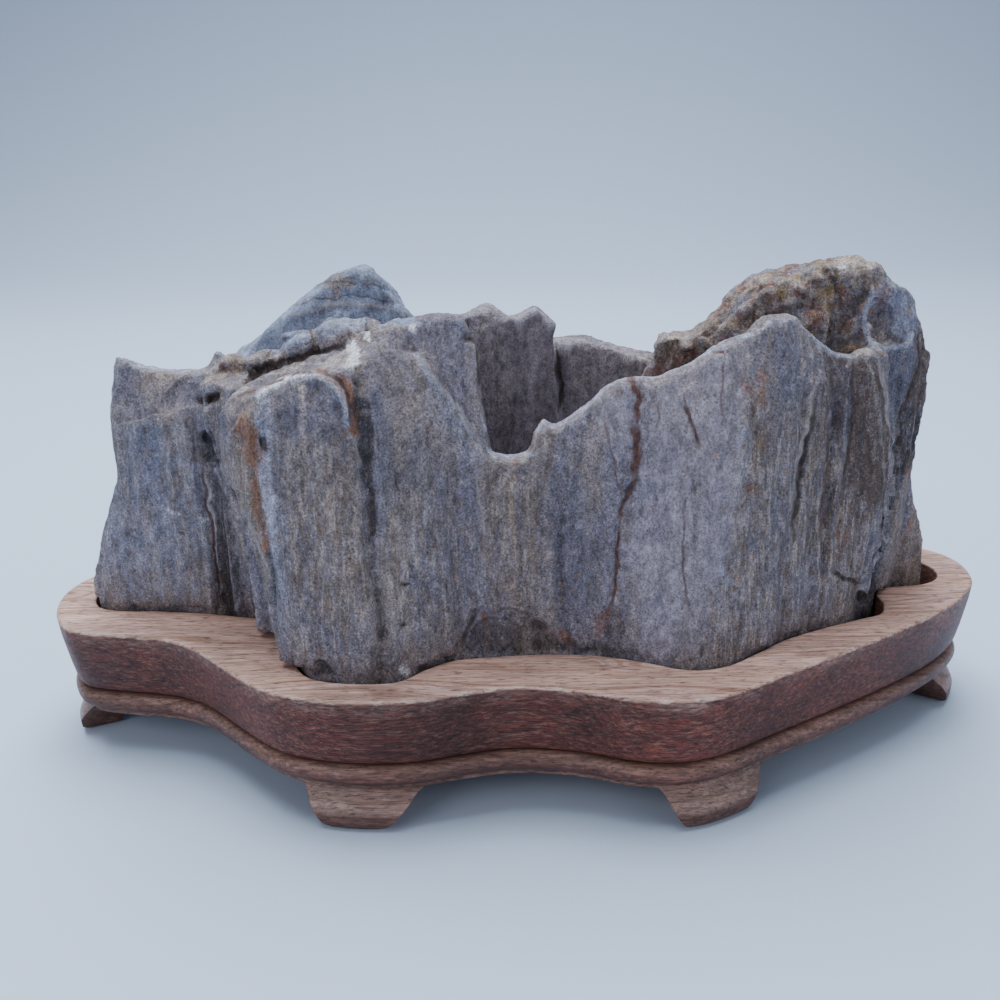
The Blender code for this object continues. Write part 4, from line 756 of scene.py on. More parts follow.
def inset(loop: np.ndarray, distance: float) -> np.ndarray:
    """Closed loop moved inward, in short steps that keep it smooth.

    Args:
        loop: Rows (x, y), counter-clockwise.
        distance: How far to move it; a negative distance moves it outward.

    Returns:
        The moved loop, with as many points.
    """
    neighbour_share = 0.1
    current = np.array(loop)
    steps = max(1, math.ceil(abs(distance)))
    for _ in range(steps):
        tangent = np.roll(current, -1, axis=0) - np.roll(current, 1, axis=0)
        tangent /= np.linalg.norm(tangent, axis=1, keepdims=True)
        inward = np.stack([-tangent[:, 1], tangent[:, 0]], axis=1)
        current = current + inward * distance / steps
        if steps > 2:
            neighbours = np.roll(current, 1, axis=0) + np.roll(current, -1, axis=0)
            current = (1 - 2 * neighbour_share) * current + neighbour_share * neighbours
    return current


def trace_field(points: np.ndarray, trace: Sequence[Point]) -> tuple[np.ndarray, np.ndarray, np.ndarray]:
    """Where points lie beside a traced line.

    Args:
        points: Rows of two coordinates.
        trace: The line's points in order.

    Returns:
        The signed distance to the line, how far past its ends each point lies, and how far
        along the line its nearest point is, from 0 to 1.
    """
    line = np.array(trace, float)
    lengths = np.linalg.norm(np.diff(line, axis=0), axis=1)
    starts = np.concatenate([[0], np.cumsum(lengths)])
    best = np.full(len(points), np.inf)
    sign, past, along = np.ones(len(points)), np.zeros(len(points)), np.zeros(len(points))
    for i, length in enumerate(lengths):
        direction = (line[i + 1] - line[i]) / length
        offset = points - line[i]
        run = offset @ direction
        held = np.clip(run, 0, length)
        distance = np.linalg.norm(offset - held[:, None] * direction, axis=1)
        closer = distance < best
        best = np.where(closer, distance, best)
        sign = np.where(closer, np.sign(direction[0] * offset[:, 1] - direction[1] * offset[:, 0]), sign)
        over = np.zeros(len(points))
        if i == 0:
            over = np.maximum(over, -run)
        if i == len(lengths) - 1:
            over = np.maximum(over, run - length)
        past = np.where(closer, over, past)
        along = np.where(closer, (starts[i] + held) / starts[-1], along)
    return best * sign, past, along


def line_hold(distance: np.ndarray, past: np.ndarray) -> np.ndarray:
    """Let a line hold for 3 mm beside it, and fade it out just past its ends."""
    return (1 - smooth_step(past, 0.2, 1.4)) * (1 - smooth_step(np.abs(distance), 2.4, 3.2))


def area_field(points: np.ndarray, outline: Sequence[Point] | np.ndarray) -> np.ndarray:
    """Distance of points inside a closed outline.

    Args:
        points: Rows of two coordinates.
        outline: Corners of the outline in order.

    Returns:
        The distance to the outline, positive inside and negative outside.
    """
    closed = list(outline) + [outline[0]]
    distance, _, _ = trace_field(points, closed)
    inside = np.zeros(len(points), bool)
    for (ax, ay), (bx, by) in zip(closed, closed[1:]):
        if ay == by:
            continue
        crosses = (ay > points[:, 1]) != (by > points[:, 1])
        inside ^= crosses & (points[:, 0] < (bx - ax) * (points[:, 1] - ay) / (by - ay) + ax)
    return np.where(inside, 1.0, -1.0) * np.abs(distance)


@dataclass(frozen=True)
class Swell:
    """Soft noise that is drawn out along z.

    Attributes:
        height: Its height, about the most that it reaches.
        across: Size of its forms in x and y, in mm.
        up: Their size in z, in mm.
        octaves: Layers of detail.
        shift: Offset that gives another pattern.
    """

    height: float
    across: float
    up: float
    octaves: int
    shift: float = 0.0

    def over(self, points: np.ndarray) -> np.ndarray:
        """Work the noise out at rows of places (x, y, z) in mm."""
        scaled = points / np.array([self.across, self.across, self.up]) + self.shift
        return self.height * np.array([noise.fractal(Vector(p), 0.7, 2.1, self.octaves) for p in scaled])


@dataclass(frozen=True)
class Blocks:
    """Irregular blocks, as rough stone breaks.

    Attributes:
        size: Size of the blocks in mm.
        rise: How far one block may stand over another, in mm.
        gap: Depth of the gaps between them, in mm.
        gap_width: Width of a gap as a part of the size.
    """

    size: float
    rise: float
    gap: float
    gap_width: float

    def over(self, points: np.ndarray) -> np.ndarray:
        """Work the blocks' height out at places.

        Args:
            points: Rows (x, y, z) in mm.

        Returns:
            One height for each place, in mm.
        """
        rows = []
        for place in points / self.size:
            distances, centres = noise.voronoi(Vector(place))
            rows.append((distances[1] - distances[0], *centres[0]))
        found = np.array(rows)
        level = np.sin(found[:, 1:] @ np.array([12.9, 78.2, 37.7])) * 0.5 + 0.5
        inside = smooth_step(found[:, 0], 0.0, self.gap_width)
        return self.rise * (level - 0.5) - self.gap * (1 - inside)


def read_shape(mesh: bpy.types.Mesh) -> tuple[np.ndarray, np.ndarray]:
    """Places in mm and normals of a mesh's vertices.

    Args:
        mesh: The mesh to read.

    Returns:
        Rows of places and rows of normals.
    """
    points, normals = np.empty(len(mesh.vertices) * 3), np.empty(len(mesh.vertices) * 3)
    mesh.vertices.foreach_get("co", points)
    mesh.vertices.foreach_get("normal", normals)
    return points.reshape(-1, 3) / MM, normals.reshape(-1, 3)


def write_shape(mesh: bpy.types.Mesh, points: np.ndarray) -> None:
    """Move a mesh's vertices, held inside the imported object's box.

    Args:
        mesh: The mesh to change.
        points: Rows of places in mm.
    """
    low, high = np.array(cad_box[0]) + BOX_MARGIN, np.array(cad_box[1]) - BOX_MARGIN
    low[2] = 0
    mesh.vertices.foreach_set("co", np.clip(points * MM, low, high).ravel())
    mesh.update()


def set_attribute(mesh: bpy.types.Mesh, name: str, values: np.ndarray) -> None:
    """Store one named number for each vertex of a mesh."""
    layer = mesh.attributes.new(name, "FLOAT", "POINT")
    layer.data.foreach_set("value", np.asarray(values, np.float32))


def add_object(name: str, data: bpy.types.ID) -> bpy.types.Object:
    """Add an object to the scene.

    Args:
        name: Its name.
        data: Its mesh, light or camera.

    Returns:
        The object.
    """
    made = bpy.data.objects.new(name, data)
    bpy.context.scene.collection.objects.link(made)
    return made


def baked(piece: bpy.types.Object) -> bpy.types.Mesh:
    """Make a mesh of an object as its modifiers leave it."""
    graph = bpy.context.evaluated_depsgraph_get()
    return bpy.data.meshes.new_from_object(piece.evaluated_get(graph), depsgraph=graph)


def triangle_count(mesh: bpy.types.Mesh) -> int:
    """Count the triangles that a mesh's faces make."""
    return sum(len(face.vertices) - 2 for face in mesh.polygons)


class Neighbours:
    """The edges of a mesh, to average values over each vertex's neighbours."""

    def __init__(self, mesh: bpy.types.Mesh) -> None:
        """Read the edges of the mesh.

        Args:
            mesh: The mesh.
        """
        ends = np.empty(len(mesh.edges) * 2, int)
        mesh.edges.foreach_get("vertices", ends)
        first, second = ends.reshape(-1, 2).T
        self.here = np.concatenate([first, second])
        self.there = np.concatenate([second, first])
        self.count = len(mesh.vertices)
        self.degree = np.maximum(np.bincount(self.here, minlength=self.count), 1)

    def mean(self, values: np.ndarray) -> np.ndarray:
        """Average the values of each vertex's neighbours.

        Args:
            values: One number or one row for each vertex.

        Returns:
            Averages in the same form.
        """
        if values.ndim == 1:
            return np.bincount(self.here, values[self.there], self.count) / self.degree
        return np.stack([self.mean(values[:, k]) for k in range(values.shape[1])], axis=1)

    def smooth(self, values: np.ndarray, passes: int, share: float = 0.5) -> np.ndarray:
        """Blend values with their neighbours' average.

        Args:
            values: One number or one row for each vertex.
            passes: How often to blend.
            share: How much of the average is taken each time.

        Returns:
            The smoother values.
        """
        for _ in range(passes):
            values = values + share * (self.mean(values) - values)
        return values


@dataclass(frozen=True)
class Viewpoint:
    """Where the photograph was taken from, in the frame's millimetres.

    Attributes:
        place: The camera's place.
        pitch: How far it looks down, in degrees.
        roll: How far the picture is turned, in degrees.
        focal: Its focal length in pixels of the photograph.
        side: The photograph's width and height in pixels.
        film: Width of the camera's film, in mm.
        nearest: Nearest distance that it shows, in metres.
    """

    place: tuple[float, float, float] = (-6.0, -303.5, 196.0)
    pitch: float = 21.1
    roll: float = 1.1
    focal: float = 1050.0
    side: float = 1000.0
    film: float = 36.0
    nearest: float = 0.01

    def matrix(self) -> Matrix:
        """Give the camera's place and turn in metres."""
        tilt = Matrix.Rotation(math.pi / 2 - math.radians(self.pitch), 4, "X")
        return (Matrix.Translation(Vector(self.place) * MM) @ tilt
                @ Matrix.Rotation(-math.radians(self.roll), 4, "Z"))

    def pixels(self, points: np.ndarray) -> tuple[np.ndarray, np.ndarray]:
        """Find points in the photograph.

        Args:
            points: Rows (x, y, z) in mm.

        Returns:
            Rows of pixels, and how far each point lies from the camera in mm.
        """
        inverse = np.array(self.matrix().inverted())
        local = points * MM @ inverse[:3, :3].T + inverse[:3, 3]
        depth = -local[:, 2]
        across = self.side / 2 + self.focal * local[:, 0] / depth
        down = self.side / 2 - self.focal * local[:, 1] / depth
        return np.stack([across, down], axis=1), depth / MM

    def add_camera(self) -> None:
        """Put the scene's camera at the viewpoint."""
        data = bpy.data.cameras.new("view")
        data.sensor_width = self.film
        data.lens = self.focal / self.side * self.film
        data.clip_start = self.nearest
        camera = add_object("view", data)
        camera.matrix_world = self.matrix()
        bpy.context.scene.camera = camera


class FrontView:
    """How the stone's vertices lie in the photograph, and which of them it shows.

    Attributes:
        CELL: Side of the cells that what lies in front is looked up in, in pixels.
        HIDDEN: From where to where behind the nearest place a place fades out, in mm.
        FACING: From where to where a place that turns toward the camera fades in.
        LINE_DRIFT: How far lines and bands are shaken, in pixels.
        AREA_DRIFT: How far the edges of areas are shaken, in pixels.
        DRIFTS: What they are shaken by, across and down.
    """

    CELL = 5.0
    HIDDEN = (9.0, 12.0)
    FACING = (-0.1, 0.15)
    LINE_DRIFT = 2.6
    AREA_DRIFT = 6.0
    DRIFTS = (Swell(1.0, 3.2, 4.6, 2, 41.0), Swell(1.0, 3.2, 4.6, 2, 53.0))

    def __init__(self, viewpoint: Viewpoint, points: np.ndarray, normals: np.ndarray) -> None:
        """Lay the points in the photograph and find those that it shows.

        Args:
            viewpoint: Where the photograph was taken from.
            points: Rows of places in mm.
            normals: Rows of normals.
        """
        pixels, depth = viewpoint.pixels(points)
        self.scale = depth / viewpoint.focal
        toward = np.array(viewpoint.place) - points
        toward /= np.linalg.norm(toward, axis=1, keepdims=True)
        facing = (normals * toward).sum(axis=1)
        size = int(viewpoint.side / self.CELL) + 2
        cells = np.clip((pixels / self.CELL).astype(int) + 1, 0, size - 1)
        nearest = np.full((size, size), np.inf)
        np.minimum.at(nearest, (cells[:, 0], cells[:, 1]), np.where(facing > 0, depth, np.inf))
        spread = nearest.copy()
        for across in (-1, 0, 1):
            for down in (-1, 0, 1):
                spread = np.minimum(spread, np.roll(nearest, (across, down), axis=(0, 1)))
        behind = depth - spread[cells[:, 0], cells[:, 1]]
        self.shown = (1 - smooth_step(behind, *self.HIDDEN)) * smooth_step(facing, *self.FACING)
        drift = np.stack([swell.over(points) for swell in self.DRIFTS], axis=1)
        self.line_pixels = pixels + self.LINE_DRIFT * drift
        self.area_pixels = pixels + self.AREA_DRIFT * drift

    def soft(self, mark: Mark) -> np.ndarray:
        """Weigh a band's or an area's hold on each vertex.

        Args:
            mark: The mark.

        Returns:
            One weight from 0 to 1 for each vertex.
        """
        if mark.shape is Shape.AREA:
            distance = area_field(self.area_pixels, mark.trace) * self.scale
            return self.shown * smooth_step(distance, -mark.reach, mark.reach)
        distance = np.abs(trace_field(self.line_pixels, mark.trace)[0]) * self.scale
        return self.shown * (1 - smooth_step(distance, 0.35 * mark.reach, 1.5 * mark.reach))

    def line(self, mark: Mark) -> tuple[np.ndarray, np.ndarray]:
        """Place each vertex beside a line.

        Args:
            mark: The line.

        Returns:
            The signed distance in half widths and how strongly the line holds there.
        """
        distance, past, along = trace_field(self.line_pixels, mark.trace)
        distance = distance * self.scale
        taper = 0.55 + 0.45 * smooth_step(np.minimum(along, 1 - along), 0.0, 0.2)
        return distance / mark.reach, self.shown * line_hold(distance, past * self.scale) * taper


class NodeCanvas:
    """A material's nodes, added by short calls."""

    def __init__(self, name: str) -> None:
        """Start a material with one Principled shader.

        Args:
            name: Name of the material.
        """
        self.material = bpy.data.materials.new(name)
        self.material.use_nodes = True
        self.tree = self.material.node_tree
        self.tree.nodes.clear()
        self.shader = self.add("ShaderNodeBsdfPrincipled")
        self.feed(self.add("ShaderNodeOutputMaterial").inputs["Surface"], self.shader.outputs["BSDF"])
        self.place = self.vector("SCALE", self.add("ShaderNodeTexCoord").outputs["Object"], 1 / MM)

    def add(self, kind: str) -> bpy.types.Node:
        """Add a shader node of a kind."""
        return self.tree.nodes.new(kind)

    def feed(self, socket: Socket, value: Value) -> None:
        """Give a socket a link or a fixed value.

        Args:
            socket: The input.
            value: Another node's output, a number or a row of numbers.
        """
        if isinstance(value, bpy.types.NodeSocket):
            self.tree.links.new(value, socket)
        elif socket.type == "RGBA":
            socket.default_value = (*value, 1.0)
        else:
            socket.default_value = value

    def vector(self, operation: str, first: Socket, second: Value) -> Socket:
        """Add vector maths.

        Args:
            operation: Its name.
            first: A vector.
            second: A vector, or a number for SCALE.

        Returns:
            The result.
        """
        node = self.add("ShaderNodeVectorMath")
        node.operation = operation
        self.feed(node.inputs[0], first)
        self.feed(node.inputs["Scale" if operation == "SCALE" else 1], second)
        return node.outputs["Value" if operation == "DOT_PRODUCT" else "Vector"]

    def maths(self, operation: str, first: Socket | float, second: Socket | float = 0.0) -> Socket:
        """Add maths on numbers.

        Args:
            operation: Its name.
            first: A number.
            second: Another number.

        Returns:
            The result.
        """
        node = self.add("ShaderNodeMath")
        node.operation = operation
        self.feed(node.inputs[0], first)
        self.feed(node.inputs[1], second)
        return node.outputs[0]

    def spread(self, value: Socket, low: float, high: float, start: float = 0.0, end: float = 1.0,
               smooth: bool = True) -> Socket:
        """Spread a range of values over another.

        Args:
            value: A number.
            low: Start of its range.
            high: End of its range.
            start: What low becomes.
            end: What high becomes.
            smooth: Whether the way between is smooth or straight.

        Returns:
            The number in its new range, held at the ends.
        """
        node = self.add("ShaderNodeMapRange")
        node.interpolation_type = "SMOOTHSTEP" if smooth else "LINEAR"
        fed = {"Value": value, "From Min": low, "From Max": high, "To Min": start, "To Max": end}
        for name, number in fed.items():
            self.feed(node.inputs[name], number)
        return node.outputs["Result"]

    def noise(self, size: Sequence[float], detail: float, roughness: float, shift: float = 0.0,
              place: Socket | None = None) -> Socket:
        """Add a noise pattern.

        Args:
            size: Size of its forms along x, y and z, in mm.
            detail: Layers of detail.
            roughness: How strong the finer layers are.
            shift: Offset that gives another pattern.
            place: Where to read it, or None for the surface's own place in mm.

        Returns:
            A number about 0.5.
        """
        scaled = self.vector("MULTIPLY", place or self.place, tuple(1 / length for length in size))
        moved = self.vector("ADD", scaled, (shift, shift * 0.7, shift * 1.3))
        node = self.add("ShaderNodeTexNoise")
        fed = {"Vector": moved, "Scale": 1.0, "Detail": detail, "Roughness": roughness}
        for name, value in fed.items():
            self.feed(node.inputs[name], value)
        return node.outputs["Fac"]

    def spots(self, size: Sequence[float], detail: float, roughness: float, shift: float, low: float,
              high: float, most: float = 1.0) -> Socket:
        """Make spots of noise: nothing where it is under low, and most where it is over high."""
        return self.spread(self.noise(size, detail, roughness, shift), low, high, 0.0, most)

    def mix(self, factor: Socket | float, first: Socket | Colour, second: Socket | Colour,
            blend: str = "MIX") -> Socket:
        """Mix two colours.

        Args:
            factor: How much of the second.
            first: A colour.
            second: Another colour.
            blend: Way of mixing.

        Returns:
            The mixed colour.
        """
        node = self.add("ShaderNodeMix")
        node.data_type = "RGBA"
        node.blend_type = blend
        for place, value in ((0, factor), (6, first), (7, second)):
            self.feed(node.inputs[place], value)
        return node.outputs[2]

    def shade(self, colour: Socket | Colour, value: Socket, low: float, high: float) -> Socket:
        """Multiply a colour by low to high as a noise pattern rises."""
        return self.mix(1.0, colour, self.spread(value, 0.28, 0.72, low, high, False), "MULTIPLY")

    def attribute(self, name: str) -> Socket:
        """Read a number that the mesh's vertices hold.

        Args:
            name: Its name.

        Returns:
            The number.
        """
        node = self.add("ShaderNodeAttribute")
        node.attribute_name = name
        return node.outputs["Fac"]

    def finish(self, colour: Socket, roughness: Socket, height: Socket, relief: float) -> bpy.types.Material:
        """Connect the finished patterns to the shader.

        Args:
            colour: Base colour.
            roughness: Roughness.
            height: Height of the fine relief.
            relief: What a height of one means, in mm.

        Returns:
            The material.
        """
        bump = self.add("ShaderNodeBump")
        self.feed(bump.inputs["Strength"], 1.0)
        self.feed(bump.inputs["Distance"], relief * MM)
        self.feed(bump.inputs["Height"], height)
        self.feed(self.shader.inputs["Base Color"], colour)
        self.feed(self.shader.inputs["Roughness"], roughness)
        self.feed(self.shader.inputs["Normal"], bump.outputs["Normal"])
        return self.material


@dataclass(frozen=True)
class Stain:
    """How a pigment looks on the stone.

    Attributes:
        tone: Its colour.
        cover: How much of the surface it hides where it is full.
        ragged: How far its edge is broken up.
    """

    tone: Colour
    cover: float
    ragged: float


@dataclass(frozen=True)
class StoneFinish:
    """Weathered petrified stone: cool grey and taupe bands, streaks and stains, rubbed rims with painted
    highlights, and painted shade in hollows.

    Attributes:
        slate: The cooler of its two greys.
        taupe: The warmer one.
        fleck_pale: Pale flecks.
        fleck_brown: Brown flecks.
        fleck_gold: Gold flecks.
        patch_pale: Pale ragged patches.
        patch_brown: Brown ragged patches.
        patch_slate: Dark grey ragged patches.
        crust_light: The rugged crust where it is pale.
        crust_dark: The crust where it is dark.
        crust_stains: The crust's stains: colour, size in mm and pattern.
        gloss: Strength of its reflection.
        stains: How each pigment looks, in the order in which they are laid.
        crack_tones: Deep and plain colour of each pigment's fine lines.
    """

    slate: Colour = (0.184, 0.172, 0.216)
    taupe: Colour = (0.246, 0.206, 0.200)
    fleck_pale: Colour = (0.380, 0.340, 0.350)
    fleck_brown: Colour = (0.138, 0.100, 0.084)
    fleck_gold: Colour = (0.235, 0.155, 0.098)
    patch_pale: Colour = (0.330, 0.292, 0.335)
    patch_brown: Colour = (0.168, 0.136, 0.126)
    patch_slate: Colour = (0.134, 0.128, 0.165)
    crust_light: Colour = (0.275, 0.225, 0.185)
    crust_dark: Colour = (0.105, 0.078, 0.066)
    crust_stains: tuple[tuple[Colour, float, float], ...] = (
        ((0.330, 0.200, 0.072), 9.0, 31.3), ((0.195, 0.205, 0.275), 7.0, 37.9),
        ((0.160, 0.055, 0.038), 6.0, 13.7))
    gloss: float = 0.35
    stains: dict[Pigment, Stain] = field(default_factory=lambda: {
        Pigment.BLUE: Stain((0.120, 0.116, 0.156), 0.80, 1.6),
        Pigment.LILAC: Stain((0.318, 0.286, 0.335), 0.80, 2.0),
        # Pale blue-grey: painted sky light
        Pigment.GREY: Stain((0.250, 0.310, 0.455), 0.90, 1.6),
        Pigment.TAN: Stain((0.245, 0.185, 0.140), 0.75, 2.2),
        Pigment.BROWN: Stain((0.096, 0.066, 0.056), 0.95, 2.2),
        Pigment.CREAM: Stain((0.420, 0.370, 0.350), 0.70, 2.4),
        # Pale blue: rubbed rims, and painted highlights on rims and lit faces
        Pigment.WORN: Stain((0.370, 0.385, 0.490), 0.80, 1.4),
        Pigment.CHIP: Stain((0.760, 0.760, 0.820), 0.95, 2.8),
        Pigment.RUST: Stain((0.255, 0.110, 0.058), 0.85, 2.4),
        # Near black: grime, and painted shade in hollows and grooves
        Pigment.DIRT: Stain((0.040, 0.032, 0.034), 0.85, 1.6),
    })
    crack_tones: dict[Pigment, tuple[Colour, Colour]] = field(default_factory=lambda: {
        Pigment.CREAM: ((0.270, 0.240, 0.240), (0.460, 0.420, 0.420)),
        Pigment.DIRT: ((0.036, 0.026, 0.026), (0.095, 0.064, 0.052)),
        Pigment.RUST: ((0.070, 0.034, 0.032), (0.150, 0.070, 0.052)),
    })

    def material(self) -> bpy.types.Material:
        """Make the stone's material.

        Returns:
            The material.
        """
        canvas = NodeCanvas("weathered_stone")
        fibres = canvas.noise((0.8, 0.8, 1.0), 4, 0.72)
        streaks = canvas.noise((2.4, 2.4, 17.0), 3, 0.60, 3.1)
        mottle = canvas.noise((2.6, 2.6, 4.0), 5, 0.76, 7.7)
        grit = canvas.noise((0.6, 0.6, 0.6), 3, 0.8, 1.3)
        breakup = canvas.maths("SUBTRACT", canvas.noise((1.8, 1.8, 3.4), 5, 0.75, 5.2), 0.5)
        # Bare stone, crust, pigments, stripes and patches
        colour = self.crust(canvas, self.ground(canvas))
        for pigment in self.stains:
            colour = self.pigment(canvas, colour, pigment, breakup)
        colour = self.patches(canvas, self.stripes(canvas, colour))
        # Light and dark in three sizes, quieter on the smooth faces
        colour = canvas.shade(colour, mottle, 0.44, 1.56)
        colour = canvas.shade(colour, streaks, 0.86, 1.14)
        colour = canvas.shade(colour, fibres, 0.84, 1.16)
        smooth_face = canvas.maths("MAXIMUM", canvas.attribute("lilac"), canvas.attribute("grey"))
        smooth_face = canvas.maths("MULTIPLY", smooth_face, 0.8)
        quiet = canvas.shade(colour, grit, 0.66, 1.34)
        colour = canvas.mix(smooth_face, canvas.shade(colour, grit, 0.26, 1.74), quiet)
        # Dark specks and fine lines on top
        specks = canvas.spots((0.5, 0.5, 0.6), 1, 0.5, 4.8, 0.64, 0.72, 0.6)
        colour = canvas.mix(specks, colour, self.stains[Pigment.DIRT].tone)
        for pigment in self.crack_tones:
            colour = self.line(canvas, colour, pigment, breakup)
        height = canvas.maths("ADD", streaks, canvas.maths("MULTIPLY", fibres, 0.5))
        height = canvas.maths("ADD", height, canvas.maths("MULTIPLY", grit, 0.7))
        height = canvas.maths("ADD", height, mottle)
        canvas.shader.inputs["Specular IOR Level"].default_value = self.gloss
        return canvas.finish(colour, canvas.spread(mottle, 0.3, 0.7, 0.70, 0.92, False), height, 0.55)

    def ground(self, canvas: NodeCanvas) -> Socket:
        """Mix the bare stone's colour.

        Args:
            canvas: The material's nodes.

        Returns:
            The colour.
        """
        bands = canvas.spots((10.0, 10.0, 60.0), 5, 0.66, 0.0, 0.42, 0.58)
        colour = canvas.mix(bands, self.slate, self.taupe)
        pale = canvas.spots((1.7, 1.7, 2.3), 5, 0.70, 11.9, 0.53, 0.68, 0.55)
        colour = canvas.mix(pale, colour, self.fleck_pale)
        brown = canvas.spots((1.5, 1.5, 2.3), 5, 0.70, 15.3, 0.53, 0.68, 0.60)
        colour = canvas.mix(brown, colour, self.fleck_brown)
        return canvas.shade(colour, canvas.noise((24.0, 24.0, 34.0), 2, 0.5, 9.4), 0.82, 1.20)

    def stripes(self, canvas: NodeCanvas, colour: Socket) -> Socket:
        """Draw narrow upright stripes, pale and brown, over the striped parts of the stone.

        Args:
            canvas: The material's nodes.
            colour: The stone's colour so far.

        Returns:
            The striped colour.
        """
        striped = canvas.attribute(Pigment.STRIPES.value)
        rows = ((self.fleck_brown, (1.5, 1.5, 15.0), 71.0, 0.60),
                (self.patch_slate, (2.2, 2.2, 20.0), 79.0, 0.55),
                (self.fleck_gold, (1.8, 1.8, 9.0), 83.0, 0.50),
                (self.stains[Pigment.CREAM].tone, (1.2, 1.2, 11.0), 73.0, 0.50))
        for tone, size, shift, force in rows:
            place = canvas.spots(size, 3, 0.64, shift, 0.51, 0.60, force)
            colour = canvas.mix(canvas.maths("MULTIPLY", place, striped), colour, tone)
        return colour

    def patches(self, canvas: NodeCanvas, colour: Socket) -> Socket:
        """Lay small ragged patches of three tones over the stone, and denser spots among them.

        Args:
            canvas: The material's nodes.
            colour: The stone's colour so far.

        Returns:
            The patchy colour.
        """
        rows = ((self.patch_pale, (4.5, 4.5, 8.0), 41.0), (self.patch_brown, (3.4, 3.4, 9.0), 47.0),
                (self.patch_slate, (4.0, 4.0, 11.0), 53.0))
        for tone, size, shift in rows:
            colour = canvas.mix(canvas.spots(size, 6, 0.72, shift, 0.53, 0.60, 0.32), colour, tone)
        brown = canvas.spots((1.1, 1.1, 1.6), 3, 0.7, 67.0, 0.62, 0.70, 0.7)
        colour = canvas.mix(brown, colour, self.fleck_brown)
        gold = canvas.spots((2.4, 2.4, 3.6), 4, 0.7, 91.0, 0.60, 0.68, 0.55)
        colour = canvas.mix(gold, colour, self.fleck_gold)
        pale = canvas.spots((1.0, 1.0, 1.3), 3, 0.7, 59.0, 0.62, 0.70, 0.6)
        return canvas.mix(pale, colour, self.stains[Pigment.CREAM].tone)

    def crust(self, canvas: NodeCanvas, colour: Socket) -> Socket:
        """Lay the rugged brown crust over the stone.

        Args:
            canvas: The material's nodes.
            colour: The stone's colour so far.

        Returns:
            The colour with its crust.
        """
        patches = canvas.noise((5.0, 5.0, 2.6), 6, 0.74, 2.6)
        crust = canvas.mix(canvas.spread(patches, 0.36, 0.60), self.crust_dark, self.crust_light)
        for tone, size, shift in self.crust_stains:
            stained = canvas.spots((size, size, size), 5, 0.7, shift, 0.51, 0.59, 0.85)
            crust = canvas.mix(stained, crust, tone)
        wisps = canvas.spots((4.0, 4.0, 1.3), 5, 0.72, 19.1, 0.56, 0.70, 0.6)
        crust = canvas.mix(wisps, crust, self.stains[Pigment.CREAM].tone)
        ragged = canvas.spread(patches, 0.3, 0.7, -0.4, 0.4, False)
        edge = canvas.maths("ADD", canvas.attribute("crust"), ragged)
        return canvas.mix(canvas.spread(edge, 0.3, 0.75, 0.0, 0.9), colour, crust)

    def pigment(self, canvas: NodeCanvas, colour: Socket, pigment: Pigment, breakup: Socket) -> Socket:
        """Lay one pigment's bands and areas over the stone.

        Args:
            canvas: The material's nodes.
            colour: The stone's colour so far.
            pigment: The pigment.
            breakup: Pattern about 0 that breaks its edges up.

        Returns:
            The colour with the pigment.
        """
        stain = self.stains[pigment]
        amount = canvas.attribute(pigment.value)
        ragged = canvas.maths("MULTIPLY", breakup, stain.ragged)
        ragged = canvas.maths("MULTIPLY", ragged, canvas.spread(amount, 0.0, 0.35))
        weight = canvas.maths("ADD", amount, ragged)
        return canvas.mix(canvas.spread(weight, 0.15, 0.80, 0.0, stain.cover, False), colour, stain.tone)

    def line(self, canvas: NodeCanvas, colour: Socket, pigment: Pigment, breakup: Socket) -> Socket:
        """Lay one pigment's fine lines over the stone.

        Args:
            canvas: The material's nodes.
            colour: The stone's colour so far.
            pigment: The pigment.
            breakup: Pattern about 0 that makes the lines uneven.

        Returns:
            The colour with the lines.
        """
        offset = canvas.attribute(f"{pigment.value}_offset")
        hold = canvas.attribute(f"{pigment.value}_hold")
        wander = canvas.maths("ADD", offset, canvas.maths("MULTIPLY", breakup, 1.9))
        core = canvas.spread(canvas.maths("ABSOLUTE", wander), 0.45, 1.5, 1.0, 0.0)
        gaps = canvas.spread(canvas.noise((1.1, 1.1, 2.6), 3, 0.7, 23.3), 0.34, 0.52, 0.65, 1.0)
        blotches = canvas.spots((0.9, 0.9, 2.2), 3, 0.7, 29.9, 0.42, 0.60)
        tone = canvas.mix(blotches, *self.crack_tones[pigment])
        return canvas.mix(canvas.maths("MULTIPLY", canvas.maths("MULTIPLY", core, hold), gaps), colour, tone)


